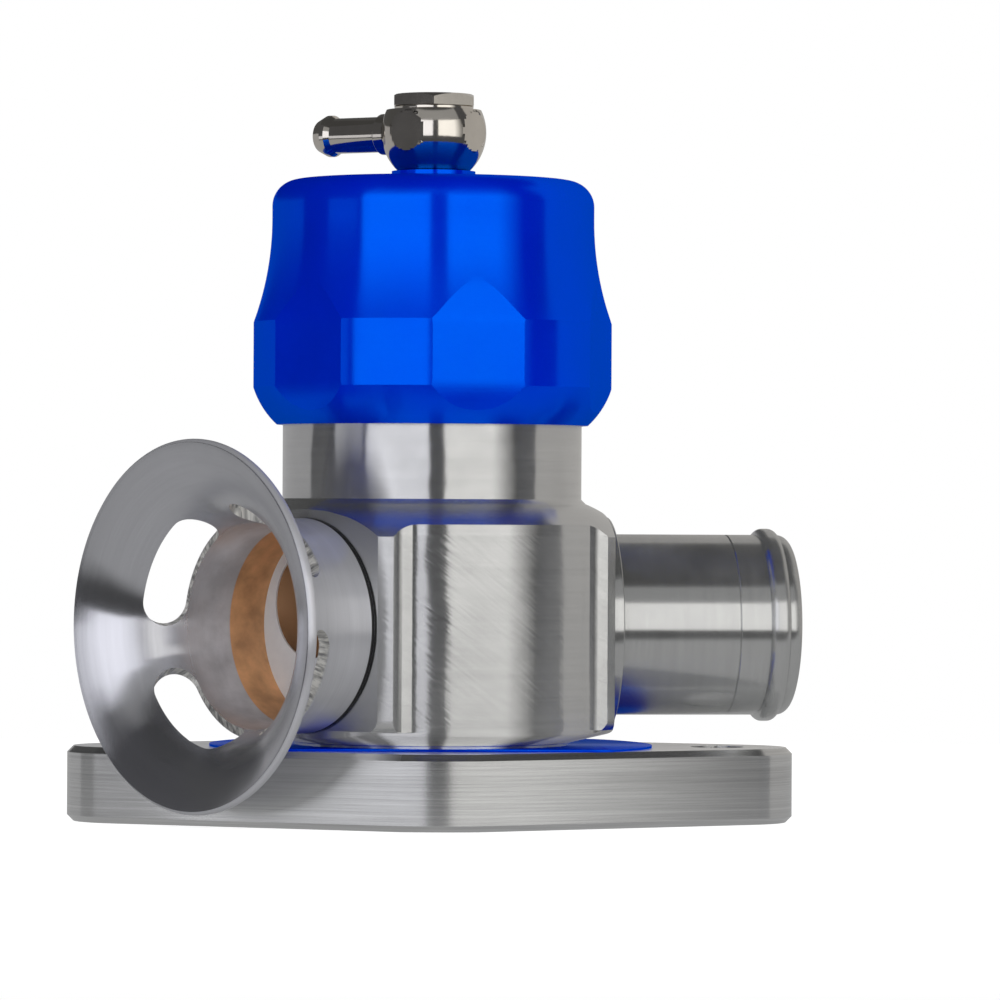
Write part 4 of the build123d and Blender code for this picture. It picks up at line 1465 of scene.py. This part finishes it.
def glow_card(panel, brightness, tint=WHITE, lights_matt=False, fade=None):
    """Makes a stage card that is seen only in reflections, and lights matt surfaces too if asked.

    Where a fade is given, it passes into the dark room's brightness between two bearings.
    """
    nodes = new_finish(panel.name + "_surface")
    nodes.tree.nodes.remove(nodes.shader)
    if fade:
        x, y, _ = nodes.parts(nodes.spot())
        turn = nodes.math("ARCTAN2", y, x)
        ends = [radians(end) - pi / 2 for end in fade]
        brightness = nodes.spread(turn, brightness, settings().studio.dark, *ends)
    nodes.show(nodes.glow(brightness, tint))
    panel.data.materials.append(nodes.owner)
    panel.visible_camera = False
    panel.visible_shadow = False
    panel.visible_diffuse = lights_matt


def card(name, bearings, heights, distance, brightness, *looks):
    """A curved card round the valve, between two bearings in degrees, east of the camera's side."""
    start, end = [radians(turn) for turn in bearings]
    low, high = heights
    first = start - pi / 2
    panel = start_chain(name, (distance * cos(first), distance * sin(first), low))
    extrude((0, 0, high - low))
    bpy.ops.mesh.select_all(action="SELECT")
    spin(36, start - end)
    leave_edit()
    glow_card(settle(panel), brightness, *looks)


def build_room():
    """The room as the metal sees it: two softboxes in a dark room, with a grey backdrop and ceiling."""
    studio = settings().studio
    cool, cream, warm = (0.95, 0.95, 1.0), (1.0, 0.985, 0.955), (1.0, 0.97, 0.93)
    rosy, bluish = (1.0, 0.99, 1.0), (1.0, 1.0, 1.05)
    floor, backdrop_split, ceiling, wall, softboxes = -2.0, 0.35, 2.0, 1.7, 1.3
    card("dark_room", (-108, 84), (floor, ceiling), wall, studio.dark, bluish)
    card("backdrop_right", (84, 178), (floor, ceiling), wall, studio.backdrop, warm)
    card("backdrop_left", (178, 252), (floor, backdrop_split), wall, studio.backdrop * 0.85, rosy)
    card("backdrop_high", (178, 252), (backdrop_split, ceiling), wall, studio.dark)
    glow_card(disc("dark_ceiling", wall + 0.05, ceiling, 64), studio.ceiling)
    card("left_softbox", (-54, -4.5), (-0.1, 0.7), softboxes, studio.left_light, cool, True)
    card("right_softbox", (7.5, 66), (-0.1, 0.7), softboxes, studio.right_light, cream, True, (44, 64))
    card("left_reflector", (-80, -56), (0.025, 0.105), 0.35, studio.left_light * 0.6, cool)
    card("high_glow", (-54, 58), (0.7, 1.5), softboxes, studio.high_glow)
    bpy.ops.object.light_add(type="AREA", radius=0.4, location=(0.1, -1.25, 0.3))
    lamp = bpy.context.active_object
    lamp.name = "front_light"
    lamp.data.energy = studio.front_power
    lamp.data.size = 0.8
    lamp.rotation_euler = (radians(80), 0, radians(4.5))
    lamp.visible_glossy = False


def build_camera():
    """The camera of the photo, turned by its heading, pitch and roll."""
    studio = settings().studio
    level = bearing(pi / 2 - studio.heading) * cos(studio.pitch)
    forward = Vector((level.x, level.y, sin(studio.pitch)))
    right = forward.cross(Vector((0, 0, 1))).normalized()
    up = right.cross(forward)
    image_right = cos(studio.roll) * right + sin(studio.roll) * up
    image_up = -sin(studio.roll) * right + cos(studio.roll) * up
    data = bpy.data.cameras.new("photo_camera")
    data.lens = studio.lens
    data.sensor_width = 36.0
    data.clip_end = 50.0
    camera = bpy.data.objects.new("photo_camera", data)
    scene = bpy.context.scene
    scene.collection.objects.link(camera)
    turn = Matrix((image_right, image_up, -forward)).transposed().to_4x4()
    camera.matrix_world = Matrix.Translation(studio.camera) @ turn
    scene.camera = camera
    scene.view_settings.view_transform = "Standard"


class VALVE_PT_panel(bpy.types.Panel):
    """The valve's pieces, in the order in which they are made"""

    bl_idname = "VALVE_PT_panel"
    bl_label = "Blow off valve"
    bl_space_type = "VIEW_3D"
    bl_region_type = "UI"
    bl_category = "Valve"

    def draw(self, context):
        for operator in OPERATORS:
            self.layout.operator(operator.bl_idname)


GROUPS = (
    ValveBodySizes, PortSizes, FlangeSizes, CapSizes, FittingSizes, SpringSizes, Finishes, Studio, ValveSettings
)
OPERATORS = (
    VALVE_OT_flange, VALVE_OT_body, VALVE_OT_trumpet, VALVE_OT_hose_tail, VALVE_OT_cap, VALVE_OT_fitting,
    VALVE_OT_spring, VALVE_OT_inner_parts, VALVE_OT_stage,
)


def label_settings(group):
    """Names each setting in the sidebar after its attribute."""
    for attribute, setting in group.__annotations__.items():
        setting.keywords["name"] = attribute.replace("_", " ").capitalize()


def register():
    for group in GROUPS:
        label_settings(group)
    for item in GROUPS + OPERATORS + (VALVE_PT_panel,):
        bpy.utils.register_class(item)
    bpy.types.Scene.valve_settings = PointerProperty(type=ValveSettings)


def unregister():
    del bpy.types.Scene.valve_settings
    for item in reversed(GROUPS + OPERATORS + (VALVE_PT_panel,)):
        bpy.utils.unregister_class(item)


def main():
    register()
    bpy.ops.valve.flange()
    bpy.ops.valve.body()
    bpy.ops.valve.trumpet()
    bpy.ops.valve.hose_tail()
    bpy.ops.valve.cap()
    bpy.ops.valve.fitting()
    bpy.ops.valve.spring()
    bpy.ops.valve.inner_parts()
    bpy.ops.valve.stage()


if __name__ == "__main__":
    main()
